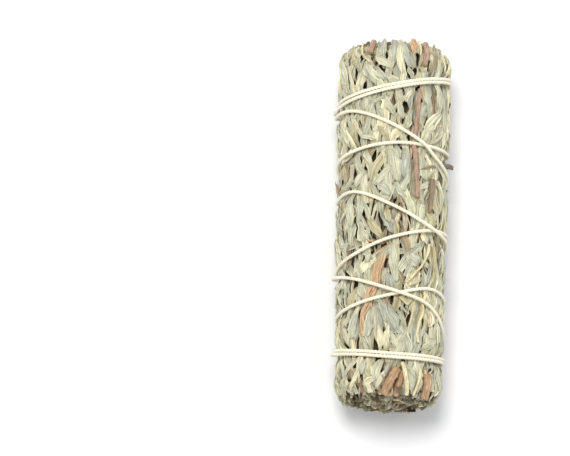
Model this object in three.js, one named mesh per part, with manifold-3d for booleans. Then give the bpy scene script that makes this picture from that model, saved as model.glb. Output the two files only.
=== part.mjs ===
// A dried sage stick: leafy sprigs cut to one length, packed side by side and bound with one cotton string.
// Millimetres, +Z up. The stick lies along Y with its cut butts towards -Y and its crown towards +Y.
// The origin is on the surface that it rests on, under its middle.
import * as THREE from "three";
import { mergeVertices } from "three/addons/utils/BufferGeometryUtils.js";
import Module from "manifold-3d";

const wasm = await Module();
wasm.setup();

// The whole stick
const LENGTH = 101;
const BUTT_RADIUS = 15.2;
const CROWN_RADIUS = 16.5;
const END_ROUNDING = 2;
const END_ROUNDING_LENGTH = 6;
const AXIS_HEIGHT = 15.3; // less than the radius, because the underside is pressed flat
const CLEARANCE = 0.3;

// The string
const STRING_DIAMETER = 0.9;
const STRING_SINK = 0.15; // how far its outside lies below the leaves on each side of it
const STRING_SIDES = 5;
const STRING_STEPS_PER_TURN = 28;
const STRAND_PITCH = 1.06; // two strands side by side in a band
const CROSSING_LIFT = 1.3; // a strand that crosses over another
const KNOT_ANGLE = 130;
const KNOT_ALONG = -38.1;
const KNOT_SIZE = { across: 1.5, along: 1.6, out: 0.9 };

// How the string and the loose pieces press the leaves in
const HOLLOW_FLAT = 2.3;
const HOLLOW_FADE = 3;
const HOLLOW_REACH = 6; // the depth at which the pressure is no longer felt
const TRACK_SAMPLES_PER_POINT = 8;

// The sprigs, in three rings: the radii that a ring fills, and how deep its stems and leaves lie
const RINGS = [
  { name: "sprig_outer", count: 14, radii: [10.6, 20], stem: 2.6, stemDepth: 3.6, leaves: 6, leafDepth: 0.5 },
  { name: "sprig_inner", count: 7, radii: [4.9, 10.3], stem: 3.4, stemDepth: 8.2, leaves: 4, leafDepth: 6.3 },
  { name: "sprig_core", count: 3, radii: [0, 4.6], stem: 3.2, stemDepth: 13.2, leaves: 2, leafDepth: 12 },
];
const WEDGE_BULGE = 1.1;
const STEM_BENDS = [-0.52, -0.2, 0.15, 0.52]; // shares of the length at which a stem wanders
const STEM_WANDER = 0.35;
const STEM_TAPER = 0.25;
const STEM_SIDES = 5;
const STEM_STEPS = 6;
const LEAF_LENGTH = [19, 25];
const LEAF_WIDTH = [3.5, 4.4];
const LEAF_THICKNESS = 0.9;
const LEAF_SPREAD = [1.1, 1.7]; // how far a leaf leans to its side
const LEAF_START_SHIFT = [-2.5, 0.5];
const LEAF_WIDEST = 1.25; // over 1 moves the widest place towards the tip
const LEAF_BLUNTNESS = 0.7;
const LEAF_SIDES = 4;
const LEAF_STEPS = 5;
const UNDERSIDE_LEAF_DEPTH = 0.2; // the lowest leaves are pressed flat on the surface
const SEED = 7;

const DEGREE = Math.PI / 180;
const NOMINAL_RADIUS = (BUTT_RADIUS + CROWN_RADIUS) / 2;

// The string's route from its first tail, through the knot, up the stick and back to its second tail. A point
// is degrees round the stick from its top towards +X, millimetres along it, and how far it is lifted where it
// crosses over itself. A turn starts on the left, at -90 degrees, and the next one carries on from it.
const BAND = STRAND_PITCH / 2;
const STRING_TURNS = [
  [
    [101, -43.6, 0],
    [116, -41.3, 0.4],
    [127, -38.9, 1.2],
    [136, -37.4, 0.5],
    [180, -36.5, 0],
    [225, -36.3, 0],
  ],
  [
    [-90, -36.9 + BAND, 0],
    [-45, -38.7 + BAND, 0],
    [0, -40.1 + BAND, 0],
    [45, -39.8 + BAND, 0],
    [90, -38.3 + BAND, 0],
    [138, -33.0, 0],
    [200, -30.3, 0],
  ],
  [
    [-90, -27.6, 0],
    [-45, -25.6, 0],
    [0, -23.1, 0],
    [45, -20.4, 0],
    [90, -21.6, 0],
    [135, -21.4, 0],
    [180, -19.0, 0],
    [225, -16.2, 0],
    [258, -14.6, 0],
  ],
  [
    [-90, -14.0, 0],
    [-45, -11.2, 0],
    [0, -6.9, 0],
    [45, -3.8, 0],
    [90, -2.5, 0],
    [135, 1.6, 0],
    [180, 6.0, 0],
    [212, 9.5, 0],
    [240, 12.8, 0],
  ],
  [
    [-90, 16.6, 0],
    [-45, 18.6, 0],
    [0, 20.0, 0],
    [45, 20.1, 0],
    [90, 20.6, 0],
    [135, 23.0, 0],
    [180, 26.6, 0],
    [225, 30.6, 0],
  ],
  [
    [-90, 34.1, 0],
    [-45, 35.0, 0],
    [0, 36.5 + BAND, 0],
    [45, 39.6 + BAND, 0],
    [90, 42.1 + BAND, 0],
    [135, 41.2 + BAND, 0],
    [180, 38.6 + BAND, 0],
    [225, 35.0 + BAND, 0],
    [258, 33.5, CROSSING_LIFT],
  ],
  [
    [-90, 32.9, 0.7],
    [-45, 33.8, 0],
    [0, 36.5 - BAND, 0],
    [45, 39.6 - BAND, 0],
    [90, 42.1 - BAND, 0],
    [135, 41.2 - BAND, 0],
    [180, 38.6 - BAND, 0],
    [225, 34.9 - BAND, 0],
    [250, 32.7, CROSSING_LIFT],
  ],
  [
    [-90, 31.6, 0.3],
    [-45, 30.1, 0],
    [0, 25.0, 0],
    [29, 20.1, CROSSING_LIFT],
    [45, 17.6, 0.3],
    [90, 13.4, 0],
    [135, 12.2, 0],
    [175, 11.0, 0],
    [196, 10.3, 0],
    [212, 9.5, CROSSING_LIFT],
    [240, 7.8, 0],
  ],
  [
    [-90, 6.3, 0],
    [-45, 6.8, 0],
    [0, 2.0, 0],
    [44, -3.8, CROSSING_LIFT],
    [90, -6.3, 0],
    [135, -8.6, 0],
    [180, -10.8, 0],
    [225, -13.1, 0.3],
    [257, -14.9, CROSSING_LIFT],
  ],
  [
    [-90, -15.4, 0.6],
    [-45, -18.0, 0],
    [7, -22.7, CROSSING_LIFT],
    [45, -25.2, 0],
    [90, -30.8, 0],
    [138, -33.0, CROSSING_LIFT],
    [158, -33.3, 0.2],
    [190, -33.8, 0],
    [225, -34.7, 0.7],
    [252, -36.2, CROSSING_LIFT],
  ],
  [
    [-90, -37.2, 0.9],
    [-45, -38.7 - BAND, 0],
    [0, -40.1 - BAND, 0],
    [45, -39.8 - BAND, 0],
    [90, -38.6 - BAND, 0],
    [130, -38.9, 0],
    [146, -40.8, 0],
    [152, -44.5, 0],
  ],
];

// Broken stems, bark and leaves that the string holds on the outside. A route's points are degrees round the
// stick, millimetres along it and millimetres from the skin down to the piece's middle.
const LOOSE_PIECES = [
  {
    name: "long_brown_stem",
    kind: "stem",
    finish: "brownStem",
    width: 1.4,
    thickness: 1.2,
    taper: 0.15,
    routes: [
      [
        [26, 36, 0.7],
        [24, 30, 0.7],
        [22, 24.5, 0.7],
        [21.6, 18.7, 0.7],
        [23.5, 13, 0.7],
        [26, 5, 0.9],
      ],
    ],
  },
  {
    name: "short_tan_stem",
    kind: "stem",
    finish: "brownStem",
    width: 1.7,
    thickness: 1.4,
    taper: 0.2,
    routes: [
      [
        [46.5, 11, 0.9],
        [42.5, 1.5, 0.8],
      ],
    ],
  },
  {
    name: "bark_strip",
    kind: "stem",
    finish: "bark",
    width: 2,
    thickness: 0.8,
    taper: 0.4,
    routes: [
      [
        [-15, -10.5, 0.6],
        [-18.5, -20, 0.5],
        [-27.5, -25, 0.5],
        [-32, -29.5, 0.5],
        [-29.5, -35.3, 0.6],
      ],
      [
        [-6.5, -11.5, 0.8],
        [-13.5, -16.5, 0.6],
        [-21, -22, 0.5],
      ],
    ],
  },
  {
    name: "curved_pale_stem",
    kind: "stem",
    finish: "strawStem",
    width: 0.9,
    thickness: 0.9,
    taper: 0.3,
    routes: [
      [
        [42.5, -7.8, 0.6],
        [40, -10.5, 0.5],
        [32.7, -14.3, 0.5],
        [23.7, -17.1, 0.5],
        [16, -19.6, 0.6],
      ],
    ],
  },
  {
    name: "right_pale_stem",
    kind: "stem",
    finish: "strawStem",
    width: 1,
    thickness: 0.9,
    taper: 0.2,
    routes: [
      [
        [40, -21, 0.6],
        [36.6, -26.2, 0.5],
        [29, -33, 0.5],
        [30.5, -36, 0.6],
      ],
    ],
  },
  {
    name: "cut_stub",
    kind: "stem",
    finish: "brownStem",
    width: 1.4,
    thickness: 1.4,
    taper: 0,
    routes: [
      [
        [66, 16.7, 2.2],
        [78, 17, 0.6],
        [89, 17.3, -1.1],
      ],
    ],
  },
  {
    name: "butt_stem_1",
    kind: "stem",
    finish: "brownStem",
    width: 2.8,
    thickness: 2.2,
    taper: 0,
    routes: [
      [
        [8, -43.6, 1.3],
        [-7, -52, 1.3],
      ],
    ],
  },
  {
    name: "butt_stem_2",
    kind: "stem",
    finish: "brownStem",
    width: 2,
    thickness: 1.8,
    taper: 0,
    routes: [
      [
        [16, -44, 3.2],
        [9, -52, 3.2],
      ],
    ],
  },
  {
    name: "butt_stem_3",
    kind: "stem",
    finish: "brownStem",
    width: 2.8,
    thickness: 2.2,
    taper: 0,
    routes: [
      [
        [47, -44, 1.3],
        [52, -52, 1.3],
      ],
    ],
  },
  {
    name: "pale_cut_stem",
    kind: "stem",
    finish: "strawStem",
    width: 1.3,
    thickness: 1.1,
    taper: 0,
    routes: [
      [
        [13.5, -42, 0.7],
        [22, -52, 0.7],
      ],
    ],
  },
  {
    name: "thin_pale_stem",
    kind: "stem",
    finish: "strawStem",
    width: 0.8,
    thickness: 0.8,
    taper: 0,
    routes: [
      [
        [35, -43.5, 0.6],
        [31, -52, 0.6],
      ],
    ],
  },
  {
    name: "bent_twig",
    kind: "stem",
    finish: "strawStem",
    width: 0.8,
    thickness: 0.7,
    taper: 0.3,
    routes: [
      [
        [-40.5, 50, 0.5],
        [-36.5, 46.4, 0.5],
        [-27, 43.4, 0.5],
      ],
    ],
  },
  {
    name: "crown_stem_1",
    kind: "stem",
    finish: "brownStem",
    width: 1.7,
    thickness: 1.5,
    taper: 0,
    routes: [
      [
        [-27, 52, 0.9],
        [-28, 46.4, 0.9],
      ],
    ],
  },
  {
    name: "crown_stem_2",
    kind: "stem",
    finish: "brownStem",
    width: 1.8,
    thickness: 1.6,
    taper: 0,
    routes: [
      [
        [36.5, 52, 0.9],
        [31, 43.4, 0.9],
      ],
    ],
  },
  {
    name: "crown_bark",
    kind: "stem",
    finish: "bark",
    width: 2.2,
    thickness: 0.8,
    taper: 0,
    routes: [
      [
        [18.5, 52, 0.5],
        [21, 46.5, 0.6],
      ],
    ],
  },
  {
    name: "oblong_leaf",
    kind: "leaf",
    finish: "paleLeaf",
    width: 2.1,
    thickness: 0.8,
    routes: [
      [
        [-22, 45.3, 0.6],
        [-13, 43.5, 0.5],
        [-4.5, 41.6, 0.6],
      ],
    ],
  },
  {
    name: "cream_leaf",
    kind: "leaf",
    finish: "paleLeaf",
    width: 2,
    thickness: 0.8,
    routes: [
      [
        [2, 50, 0.6],
        [4, 45, 0.5],
        [6, 40, 0.6],
      ],
    ],
  },
  {
    name: "broad_leaf_1",
    kind: "leaf",
    finish: "paleLeaf",
    width: 3,
    thickness: 0.8,
    routes: [
      [
        [54, 31, 0.6],
        [41, 26, 0.5],
        [29, 21.4, 0.7],
      ],
    ],
  },
  {
    name: "broad_leaf_2",
    kind: "leaf",
    finish: "paleLeaf",
    width: 2,
    thickness: 0.8,
    routes: [
      [
        [64, 27.6, 0.6],
        [51, 24, 0.5],
        [39, 20.6, 0.7],
      ],
    ],
  },
  {
    name: "round_leaf",
    kind: "leaf",
    finish: "leaf",
    width: 2.4,
    thickness: 0.8,
    routes: [
      [
        [-1, -8.4, 0.7],
        [2, -14, 0.5],
        [5, -19.6, 0.7],
      ],
    ],
  },
  {
    name: "blue_grey_leaf",
    kind: "leaf",
    finish: "leaf",
    width: 2.4,
    thickness: 0.8,
    routes: [
      [
        [-4, -25, 0.7],
        [2, -29, 0.5],
        [7, -33, 0.6],
      ],
    ],
  },
  {
    name: "olive_leaf",
    kind: "leaf",
    finish: "leaf",
    width: 5,
    thickness: 0.8,
    routes: [
      [
        [19, -23.8, 0.6],
        [18, -27.5, 0.5],
        [19, -31.5, 0.6],
      ],
    ],
  },
];

const FINISHES = {
  leaf: new THREE.MeshStandardMaterial({ color: "#b9b79c", roughness: 0.92, metalness: 0 }),
  paleLeaf: new THREE.MeshStandardMaterial({ color: "#cfcfae", roughness: 0.9, metalness: 0 }),
  strawStem: new THREE.MeshStandardMaterial({ color: "#d9d0a6", roughness: 0.8, metalness: 0 }),
  brownStem: new THREE.MeshStandardMaterial({ color: "#94694f", roughness: 0.85, metalness: 0 }),
  bark: new THREE.MeshStandardMaterial({ color: "#c88f66", roughness: 0.8, metalness: 0 }),
  cotton: new THREE.MeshStandardMaterial({ color: "#ece5cc", roughness: 0.9, metalness: 0 }),
};

// Repeatable random numbers between two limits
function dice(seed) {
  let state = seed;
  return (low, high) => {
    state = (state * 1664525 + 1013904223) % 4294967296;
    return low + ((high - low) * state) / 4294967296;
  };
}

// 1 near a track, 0 away from it
function smoothFall(distance, flat, fade) {
  return 1 - THREE.MathUtils.smoothstep(distance, flat, flat + fade);
}

// The radius of the stick's outside at an angle round it and a distance along it
function skinRadius(angle, along) {
  const taper = THREE.MathUtils.lerp(BUTT_RADIUS, CROWN_RADIUS, along / LENGTH + 0.5);
  const fromEnd = Math.max(LENGTH / 2 - Math.abs(along), 0);
  const rounding = END_ROUNDING * Math.max(1 - fromEnd / END_ROUNDING_LENGTH, 0) ** 2;
  const downwards = Math.max(-Math.cos(angle), 0.001);
  return Math.min(taper - rounding, AXIS_HEIGHT / downwards);
}

function onStick(angle, along, radius, target = new THREE.Vector3()) {
  return target.set(radius * Math.sin(angle), along, AXIS_HEIGHT + radius * Math.cos(angle));
}

// A smooth curve on the unrolled skin: x is the arc at the nominal radius, y is along the stick, z is the
// points' third value
function unrolledCurve(points) {
  const arc = (degrees) => degrees * DEGREE * NOMINAL_RADIUS;
  const onSkin = ([degrees, along, third]) => new THREE.Vector3(arc(degrees), along, third);
  return new THREE.CatmullRomCurve3(points.map(onSkin));
}

// The string's centre line on the stick
class StringCurve extends THREE.Curve {
  constructor(turns) {
    super();
    const route = turns.flatMap((turn, k) => turn.map(([degrees, ...rest]) => [360 * k + degrees, ...rest]));
    this.unrolled = unrolledCurve(route);
    this.turns = (route.at(-1)[0] - route[0][0]) / 360;
    this.samples = TRACK_SAMPLES_PER_POINT * route.length;
    this.arcLengthDivisions = 5 * this.samples;
  }

  getPoint(t, target = new THREE.Vector3()) {
    const { x: arc, y: along, z: lift } = this.unrolled.getPoint(t);
    const angle = arc / NOMINAL_RADIUS;
    const depth = STRING_SINK + STRING_DIAMETER / 2 - lift;
    return onStick(angle, along, skinRadius(angle, along) - depth, target);
  }
}

const stringCurve = new StringCurve(STRING_TURNS);

// The tracks that press the leaves in, as samples on the unrolled skin
const stringTrack = stringCurve.unrolled.getPoints(stringCurve.samples);
const looseTracks = LOOSE_PIECES.flatMap(({ routes, width, thickness }) =>
  routes.map((route) => {
    const curve = unrolledCurve(route);
    const samples = curve.getSpacedPoints(Math.ceil(curve.getLength()));
    return { samples, flat: width / 2 + CLEARANCE, depth: thickness + CLEARANCE };
  }),
);

// The distance from a place on the unrolled skin to the nearest sample of a track
function distanceTo(samples, arc, along) {
  const round = 2 * Math.PI * NOMINAL_RADIUS;
  let best = Infinity;
  for (const sample of samples) {
    const apart = THREE.MathUtils.euclideanModulo(arc - sample.x, round);
    best = Math.min(best, Math.hypot(Math.min(apart, round - apart), along - sample.y));
  }
  return best;
}

// How far the skin is pressed in at a place: by the string, and by the loose pieces for what lies under them
function hollow(arc, along, underLoose) {
  const stringDepth = STRING_SINK + STRING_DIAMETER + CLEARANCE;
  let depth = stringDepth * smoothFall(distanceTo(stringTrack, arc, along), HOLLOW_FLAT, HOLLOW_FADE);
  for (const track of underLoose ? looseTracks : []) {
    depth += track.depth * smoothFall(distanceTo(track.samples, arc, along), track.flat, HOLLOW_FADE);
  }
  return depth;
}

// A closed three.js geometry as a solid
function solid(geometry) {
  geometry.deleteAttribute("normal");
  geometry.deleteAttribute("uv");
  const merged = mergeVertices(geometry, 0.0001);
  const vertProperties = new Float32Array(merged.getAttribute("position").array);
  const triVerts = new Uint32Array(merged.index.array);
  return new wasm.Manifold(new wasm.Mesh({ numProp: 3, vertProperties, triVerts }));
}

// Bends a blank along a route on the stick. profile gives, for a vertex of the blank, its share t of the
// route and its offsets across the route and outwards. under says whether the loose pieces press on it.
function bend(blank, route, profile, under) {
  const path = unrolledCurve(route);
  const position = blank.getAttribute("position");
  const point = new THREE.Vector3();
  for (let i = 0; i < position.count; i++) {
    const { t, across, out } = profile(point.fromBufferAttribute(position, i));
    const { x: arc, y: centreAlong, z: depth } = path.getPoint(t);
    const heading = path.getTangent(t).setZ(0).normalize();
    const along = centreAlong - across * heading.x;
    const pressed = hollow(arc, along, under) * Math.max(1 - depth / HOLLOW_REACH, 0);
    const radius = skinRadius(arc / NOMINAL_RADIUS, along) - depth - pressed + out;
    const angle = arc / NOMINAL_RADIUS + (across * heading.y) / radius;
    onStick(angle, along, radius, point);
    position.setXYZ(i, point.x, point.y, point.z);
  }
  return solid(blank);
}

// A stem cut square at both ends, from a cylinder
function stemSolid({ route, width, thickness, taper, steps, under, grow = 0 }) {
  const blank = new THREE.CylinderGeometry(1, 1, 2, STEM_SIDES, steps);
  const profile = ({ x, y, z }) => {
    const t = (y + 1) / 2;
    const size = 1 - taper * t;
    return { t, across: x * ((size * width) / 2 + grow), out: z * ((size * thickness) / 2 + grow) };
  };
  return bend(blank, route, profile, under);
}

// A narrow blunt leaf, thickest in its middle, from a sphere
function leafSolid({ route, width, thickness, under, grow = 0 }) {
  const blank = new THREE.SphereGeometry(1, LEAF_SIDES, LEAF_STEPS);
  const profile = ({ x, y, z }) => {
    const t = 1 - Math.acos(THREE.MathUtils.clamp(y, -1, 1)) / Math.PI;
    const ring = Math.hypot(x, z);
    if (ring < 0.001) return { t, across: 0, out: 0 };
    const swell = Math.sin(Math.PI * t ** LEAF_WIDEST) ** LEAF_BLUNTNESS;
    const body = Math.sqrt(Math.sin(Math.PI * t));
    return {
      t,
      across: (x / ring) * ((swell * width) / 2 + grow),
      out: (z / ring) * ((body * thickness) / 2 + grow),
    };
  };
  return bend(blank, route, profile, under);
}

// Everything between the two cut ends and above the surface
function cutEnds() {
  const tall = 3 * CROWN_RADIUS;
  return solid(new THREE.BoxGeometry(tall, LENGTH, tall).translate(0, 0, tall / 2));
}

// The wedge of the stick that one sprig is pressed into, a little clear of its neighbours
function wedge(from, to, inner, outer) {
  const middle = (from + to) / 2;
  const apart = CLEARANCE / 2;
  const corner = (angle, radius, side) =>
    new THREE.Vector2(
      radius * Math.sin(angle) + side * apart * Math.cos(angle),
      radius * Math.cos(angle) - side * apart * Math.sin(angle),
    );
  const tip = apart / Math.sin((to - from) / 2);
  const outside = [corner(from, outer, 1), corner(middle, outer * WEDGE_BULGE, 0), corner(to, outer, -1)];
  const inside = inner > 0 ? [corner(to, inner, -1), corner(from, inner, 1)] : [corner(middle, tip, 0)];
  const outline = new THREE.Shape([...outside, ...inside]);
  const block = new THREE.ExtrudeGeometry(outline, { depth: 2 * LENGTH, bevelEnabled: false });
  block.rotateX(Math.PI / 2);
  block.translate(0, LENGTH, AXIS_HEIGHT);
  return solid(block);
}

// One sprig: its stem from end to end with leaves on both sides of it, cut to its wedge and to the two ends
function sprig(ring, number, ends) {
  const roll = dice(SEED + 100 * RINGS.indexOf(ring) + number);
  const pitch = 360 / ring.count;
  const middle = (number + 0.5) * pitch;
  const sideways = (across, depth) => across / (NOMINAL_RADIUS - depth) / DEGREE;
  const underneath = ring === RINGS[0] && Math.abs(middle - 180) < pitch;

  const stemRoute = STEM_BENDS.map((share) => [
    middle + sideways(roll(-STEM_WANDER, STEM_WANDER), ring.stemDepth),
    share * LENGTH,
    ring.stemDepth + roll(-STEM_WANDER, STEM_WANDER),
  ]);
  const stemSize = { width: ring.stem, thickness: ring.stem, taper: STEM_TAPER, steps: STEM_STEPS };
  let shape = stemSolid({ route: stemRoute, ...stemSize, under: true });

  for (let i = 0; i < ring.leaves; i++) {
    const side = i % 2 ? 1 : -1;
    const start = (i / ring.leaves - 0.5) * LENGTH + roll(...LEAF_START_SHIFT);
    const long = roll(...LEAF_LENGTH);
    const spread = sideways(side * roll(...LEAF_SPREAD), ring.leafDepth);
    const depth = underneath ? UNDERSIDE_LEAF_DEPTH : ring.leafDepth + roll(0, 0.4);
    const route = [
      [middle - 0.3 * spread, start, ring.stemDepth],
      [middle + 0.3 * spread, start + 0.3 * long, (ring.stemDepth + 2 * depth) / 3],
      [middle + spread, start + 0.6 * long, depth],
      [middle + 1.3 * spread, start + long, depth],
    ];
    const width = roll(...LEAF_WIDTH);
    shape = shape.add(leafSolid({ route, width, thickness: LEAF_THICKNESS, under: true }));
  }
  const from = number * pitch * DEGREE;
  return shape.intersect(wedge(from, from + pitch * DEGREE, ...ring.radii)).intersect(ends);
}

// A loose piece as it lies, or grown on every side to press its own shape into the sprigs
function loosePiece({ kind, routes, ...size }, grow) {
  const make = kind === "leaf" ? leafSolid : stemSolid;
  return routes
    .map((route) => make({ route, steps: 2 * route.length, under: false, grow, ...size }))
    .reduce((a, b) => a.add(b));
}

// The string with its two tails, and the lump of the knot that they come out of
function bindingString() {
  const radius = STRING_DIAMETER / 2;
  const corner = (_, i) => {
    const turned = (2 * Math.PI * i) / STRING_SIDES;
    return new THREE.Vector2(radius * Math.cos(turned), radius * Math.sin(turned));
  };
  const section = new THREE.Shape(Array.from({ length: STRING_SIDES }, corner));
  const steps = Math.round(stringCurve.turns * STRING_STEPS_PER_TURN);
  const strand = new THREE.ExtrudeGeometry(section, { steps, extrudePath: stringCurve, bevelEnabled: false });
  const angle = KNOT_ANGLE * DEGREE;
  const place = onStick(angle, KNOT_ALONG, skinRadius(angle, KNOT_ALONG) - STRING_SINK - radius);
  const knot = new THREE.SphereGeometry(1, 8, 6);
  knot.scale(KNOT_SIZE.across, KNOT_SIZE.along, KNOT_SIZE.out);
  knot.rotateY(angle);
  knot.translate(place.x, place.y, place.z);
  return solid(strand).add(solid(knot));
}

// The largest body of a solid as a mesh of its own: a cut can leave crumbs beside it
function namedMesh(name, shape, material) {
  const body = shape.decompose().reduce((a, b) => (b.volume() > a.volume() ? b : a));
  const { vertProperties, triVerts } = body.getMesh();
  const geometry = new THREE.BufferGeometry();
  geometry.setAttribute("position", new THREE.BufferAttribute(vertProperties, 3));
  geometry.setIndex(new THREE.BufferAttribute(triVerts, 1));
  geometry.computeVertexNormals();
  const mesh = new THREE.Mesh(geometry, material);
  mesh.name = name;
  return mesh;
}

function sageStick() {
  const stick = new THREE.Group();
  const ends = cutEnds();
  stick.add(namedMesh("binding_string", bindingString(), FINISHES.cotton));
  for (const piece of LOOSE_PIECES) {
    stick.add(namedMesh(piece.name, loosePiece(piece, 0).intersect(ends), FINISHES[piece.finish]));
  }
  const pressing = LOOSE_PIECES.map((piece) => loosePiece(piece, CLEARANCE));
  for (const ring of RINGS) {
    for (let number = 0; number < ring.count; number++) {
      const shape = pressing.reduce((left, piece) => left.subtract(piece), sprig(ring, number, ends));
      stick.add(namedMesh(`${ring.name}_${String(number + 1).padStart(2, "0")}`, shape, FINISHES.leaf));
    }
  }
  return stick;
}

export default sageStick();
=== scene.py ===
"""The looks of the dried sage stick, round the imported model: leaves and stems laid over one another, twisted
cotton string, and the stage. Lengths are metres, in the model's own frame."""

import functools
import math

import bpy
import numpy as np
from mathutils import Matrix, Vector


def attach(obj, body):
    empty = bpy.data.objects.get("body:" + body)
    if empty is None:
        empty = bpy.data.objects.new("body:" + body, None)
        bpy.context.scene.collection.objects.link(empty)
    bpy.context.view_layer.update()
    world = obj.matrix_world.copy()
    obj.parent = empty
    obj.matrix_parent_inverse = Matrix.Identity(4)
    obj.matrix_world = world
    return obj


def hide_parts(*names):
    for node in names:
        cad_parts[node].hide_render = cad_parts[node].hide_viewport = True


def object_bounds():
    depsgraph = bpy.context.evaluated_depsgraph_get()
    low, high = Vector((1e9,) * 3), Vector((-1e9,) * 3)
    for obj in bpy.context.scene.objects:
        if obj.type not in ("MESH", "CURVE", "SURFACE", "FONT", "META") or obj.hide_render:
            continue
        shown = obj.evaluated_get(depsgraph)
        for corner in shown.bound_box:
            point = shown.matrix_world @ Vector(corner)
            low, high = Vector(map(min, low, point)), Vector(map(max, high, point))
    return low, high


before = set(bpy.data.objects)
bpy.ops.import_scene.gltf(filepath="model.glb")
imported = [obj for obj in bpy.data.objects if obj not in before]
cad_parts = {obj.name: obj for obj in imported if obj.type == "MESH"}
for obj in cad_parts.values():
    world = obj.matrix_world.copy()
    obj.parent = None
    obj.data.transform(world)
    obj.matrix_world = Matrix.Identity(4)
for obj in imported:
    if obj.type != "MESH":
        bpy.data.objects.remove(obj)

bl_info = {
    "name": "Sage Stick",
    "version": (1, 0, 0),
    "blender": (4, 5, 0),
    "location": "View3D > Sidebar > Sage",
    "description": "Lays dried sage leaves and stems into a stick and binds it with cotton string",
    "category": "Add Mesh",
}

CAD_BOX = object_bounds()
BODY = "root"
MM = 0.001
# How far the leaves may pass the model's box at its sides, its ends and its top, and stay off the floor
PROUD = np.array([[-0.0003, -0.0008, 0.00004], [0.0003, 0.0008, 0.0003]])
DEGREE = math.pi / 180
TURN = 2 * math.pi

# The stick, as in the part's source, in millimetres here and below unless a name says otherwise
LENGTH = 101.0
BUTT_RADIUS = 15.2
CROWN_RADIUS = 16.5
END_ROUNDING = 2.0
END_ROUNDING_LENGTH = 6.0
AXIS_HEIGHT = 15.3
NOMINAL_RADIUS = (BUTT_RADIUS + CROWN_RADIUS) / 2
ROUND = TURN * NOMINAL_RADIUS
ARC = DEGREE * NOMINAL_RADIUS  # one degree round the skin
# Rings of sprigs: name, count and least distance from the axis
OUTER_COUNT = 14
RINGS = [("outer", OUTER_COUNT, 10.45), ("inner", 7, 4.75), ("core", 3, 0)]

# The string
STRING_DIAMETER = 0.9
STRING_SINK = 0.15
BAND = 0.0005  # half the pitch of two strands side by side, in metres
OVER = 0.0013  # the lift of a strand that crosses over another, in metres
STRING_POINTS = 4000
STRING_FULLNESS = 1.28  # the plies are thicker than circles that only touch, as soft cotton is
LAY_LENGTH = 0.0031  # in metres
FIBRE_SPACING = 0.0009  # in metres
KNOT_ANGLE = 130
KNOT_ALONG = -38.1
KNOT_SIZE = 1.5
KNOT_POINTS = 160

# The string's route, turn by turn from -90 degrees: degrees round the stick, metres along it, lift in metres
STRING_TURNS = [
    [(101, -0.0436, 0), (116, -0.0413, 0.0004), (127, -0.0389, 0.0012), (136, -0.0374, 0.0005),
     (180, -0.0365, 0), (225, -0.0363, 0)],
    [(-90, -0.0369 + BAND, 0), (-45, -0.0387 + BAND, 0), (0, -0.0401 + BAND, 0), (45, -0.0398 + BAND, 0),
     (90, -0.0383 + BAND, 0), (138, -0.0330, 0), (200, -0.0303, 0)],
    [(-90, -0.0276, 0), (-45, -0.0256, 0), (0, -0.0231, 0), (45, -0.0204, 0), (90, -0.0216, 0),
     (135, -0.0214, 0), (180, -0.0190, 0), (225, -0.0162, 0), (258, -0.0146, 0)],
    [(-90, -0.0140, 0), (-45, -0.0112, 0), (0, -0.0069, 0), (45, -0.0038, 0), (90, -0.0025, 0),
     (135, 0.0016, 0), (180, 0.0060, 0), (212, 0.0095, 0), (240, 0.0128, 0)],
    [(-90, 0.0166, 0), (-45, 0.0186, 0), (0, 0.0200, 0), (45, 0.0201, 0), (90, 0.0206, 0),
     (135, 0.0230, 0), (180, 0.0266, 0), (225, 0.0306, 0)],
    [(-90, 0.0341, 0), (-45, 0.0350, 0), (0, 0.0365 + BAND, 0), (45, 0.0396 + BAND, 0),
     (90, 0.0421 + BAND, 0), (135, 0.0412 + BAND, 0), (180, 0.0386 + BAND, 0), (225, 0.0350 + BAND, 0),
     (258, 0.0335, OVER)],
    [(-90, 0.0329, 0.0007), (-45, 0.0338, 0), (0, 0.0365 - BAND, 0), (45, 0.0396 - BAND, 0),
     (90, 0.0421 - BAND, 0), (135, 0.0412 - BAND, 0), (180, 0.0386 - BAND, 0), (225, 0.0349 - BAND, 0),
     (250, 0.0327, OVER)],
    [(-90, 0.0316, 0.0003), (-45, 0.0301, 0), (0, 0.0250, 0), (29, 0.0201, OVER), (45, 0.0176, 0.0003),
     (90, 0.0134, 0), (135, 0.0122, 0), (175, 0.0110, 0), (196, 0.0103, 0), (212, 0.0095, OVER),
     (240, 0.0078, 0)],
    [(-90, 0.0063, 0), (-45, 0.0068, 0), (0, 0.0020, 0), (44, -0.0038, OVER), (90, -0.0063, 0),
     (135, -0.0086, 0), (180, -0.0108, 0), (225, -0.0131, 0.0003), (257, -0.0149, OVER)],
    [(-90, -0.0154, 0.0006), (-45, -0.0180, 0), (7, -0.0227, OVER), (45, -0.0252, 0), (90, -0.0308, 0),
     (138, -0.0330, OVER), (158, -0.0333, 0.0002), (190, -0.0338, 0), (225, -0.0347, 0.0007),
     (252, -0.0362, OVER)],
    [(-90, -0.0372, 0.0009), (-45, -0.0387 - BAND, 0), (0, -0.0401 - BAND, 0), (45, -0.0398 - BAND, 0),
     (90, -0.0386 - BAND, 0), (130, -0.0389, 0), (146, -0.0408, 0), (152, -0.0445, 0)],
]

# How the string and the loose pieces press on the leaves
PRESS_FLAT = 0.45  # as deep as under the middle, up to so far beside it
PRESS_FADE = 2.2  # and fading out over so far
PRESS_REACH = 6.0  # leaves that lie deeper aren't pressed
PRESS_MAP_REACH = 4.0
PRESS_SLACK = 0.1
LOOSE_PRESS_FADE = 1.2
PROUD_DEPTH = 0.25  # what stands higher than this under the roof stands proud by less than it was laid
PROUD_SHARE = 0.4
HOLLOW_DEPTH = 1.0  # what lies deeper than this is raised, so that no gap is a deep hole
HOLLOW_SHARE = 0.35
# Painted shade: leaves deeper than the hollow depth are painted darker over this depth, by up to this share
PAINTED_SHADE_DEPTH = 2.0
PAINTED_SHADE_STRENGTH = 0.46

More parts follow.
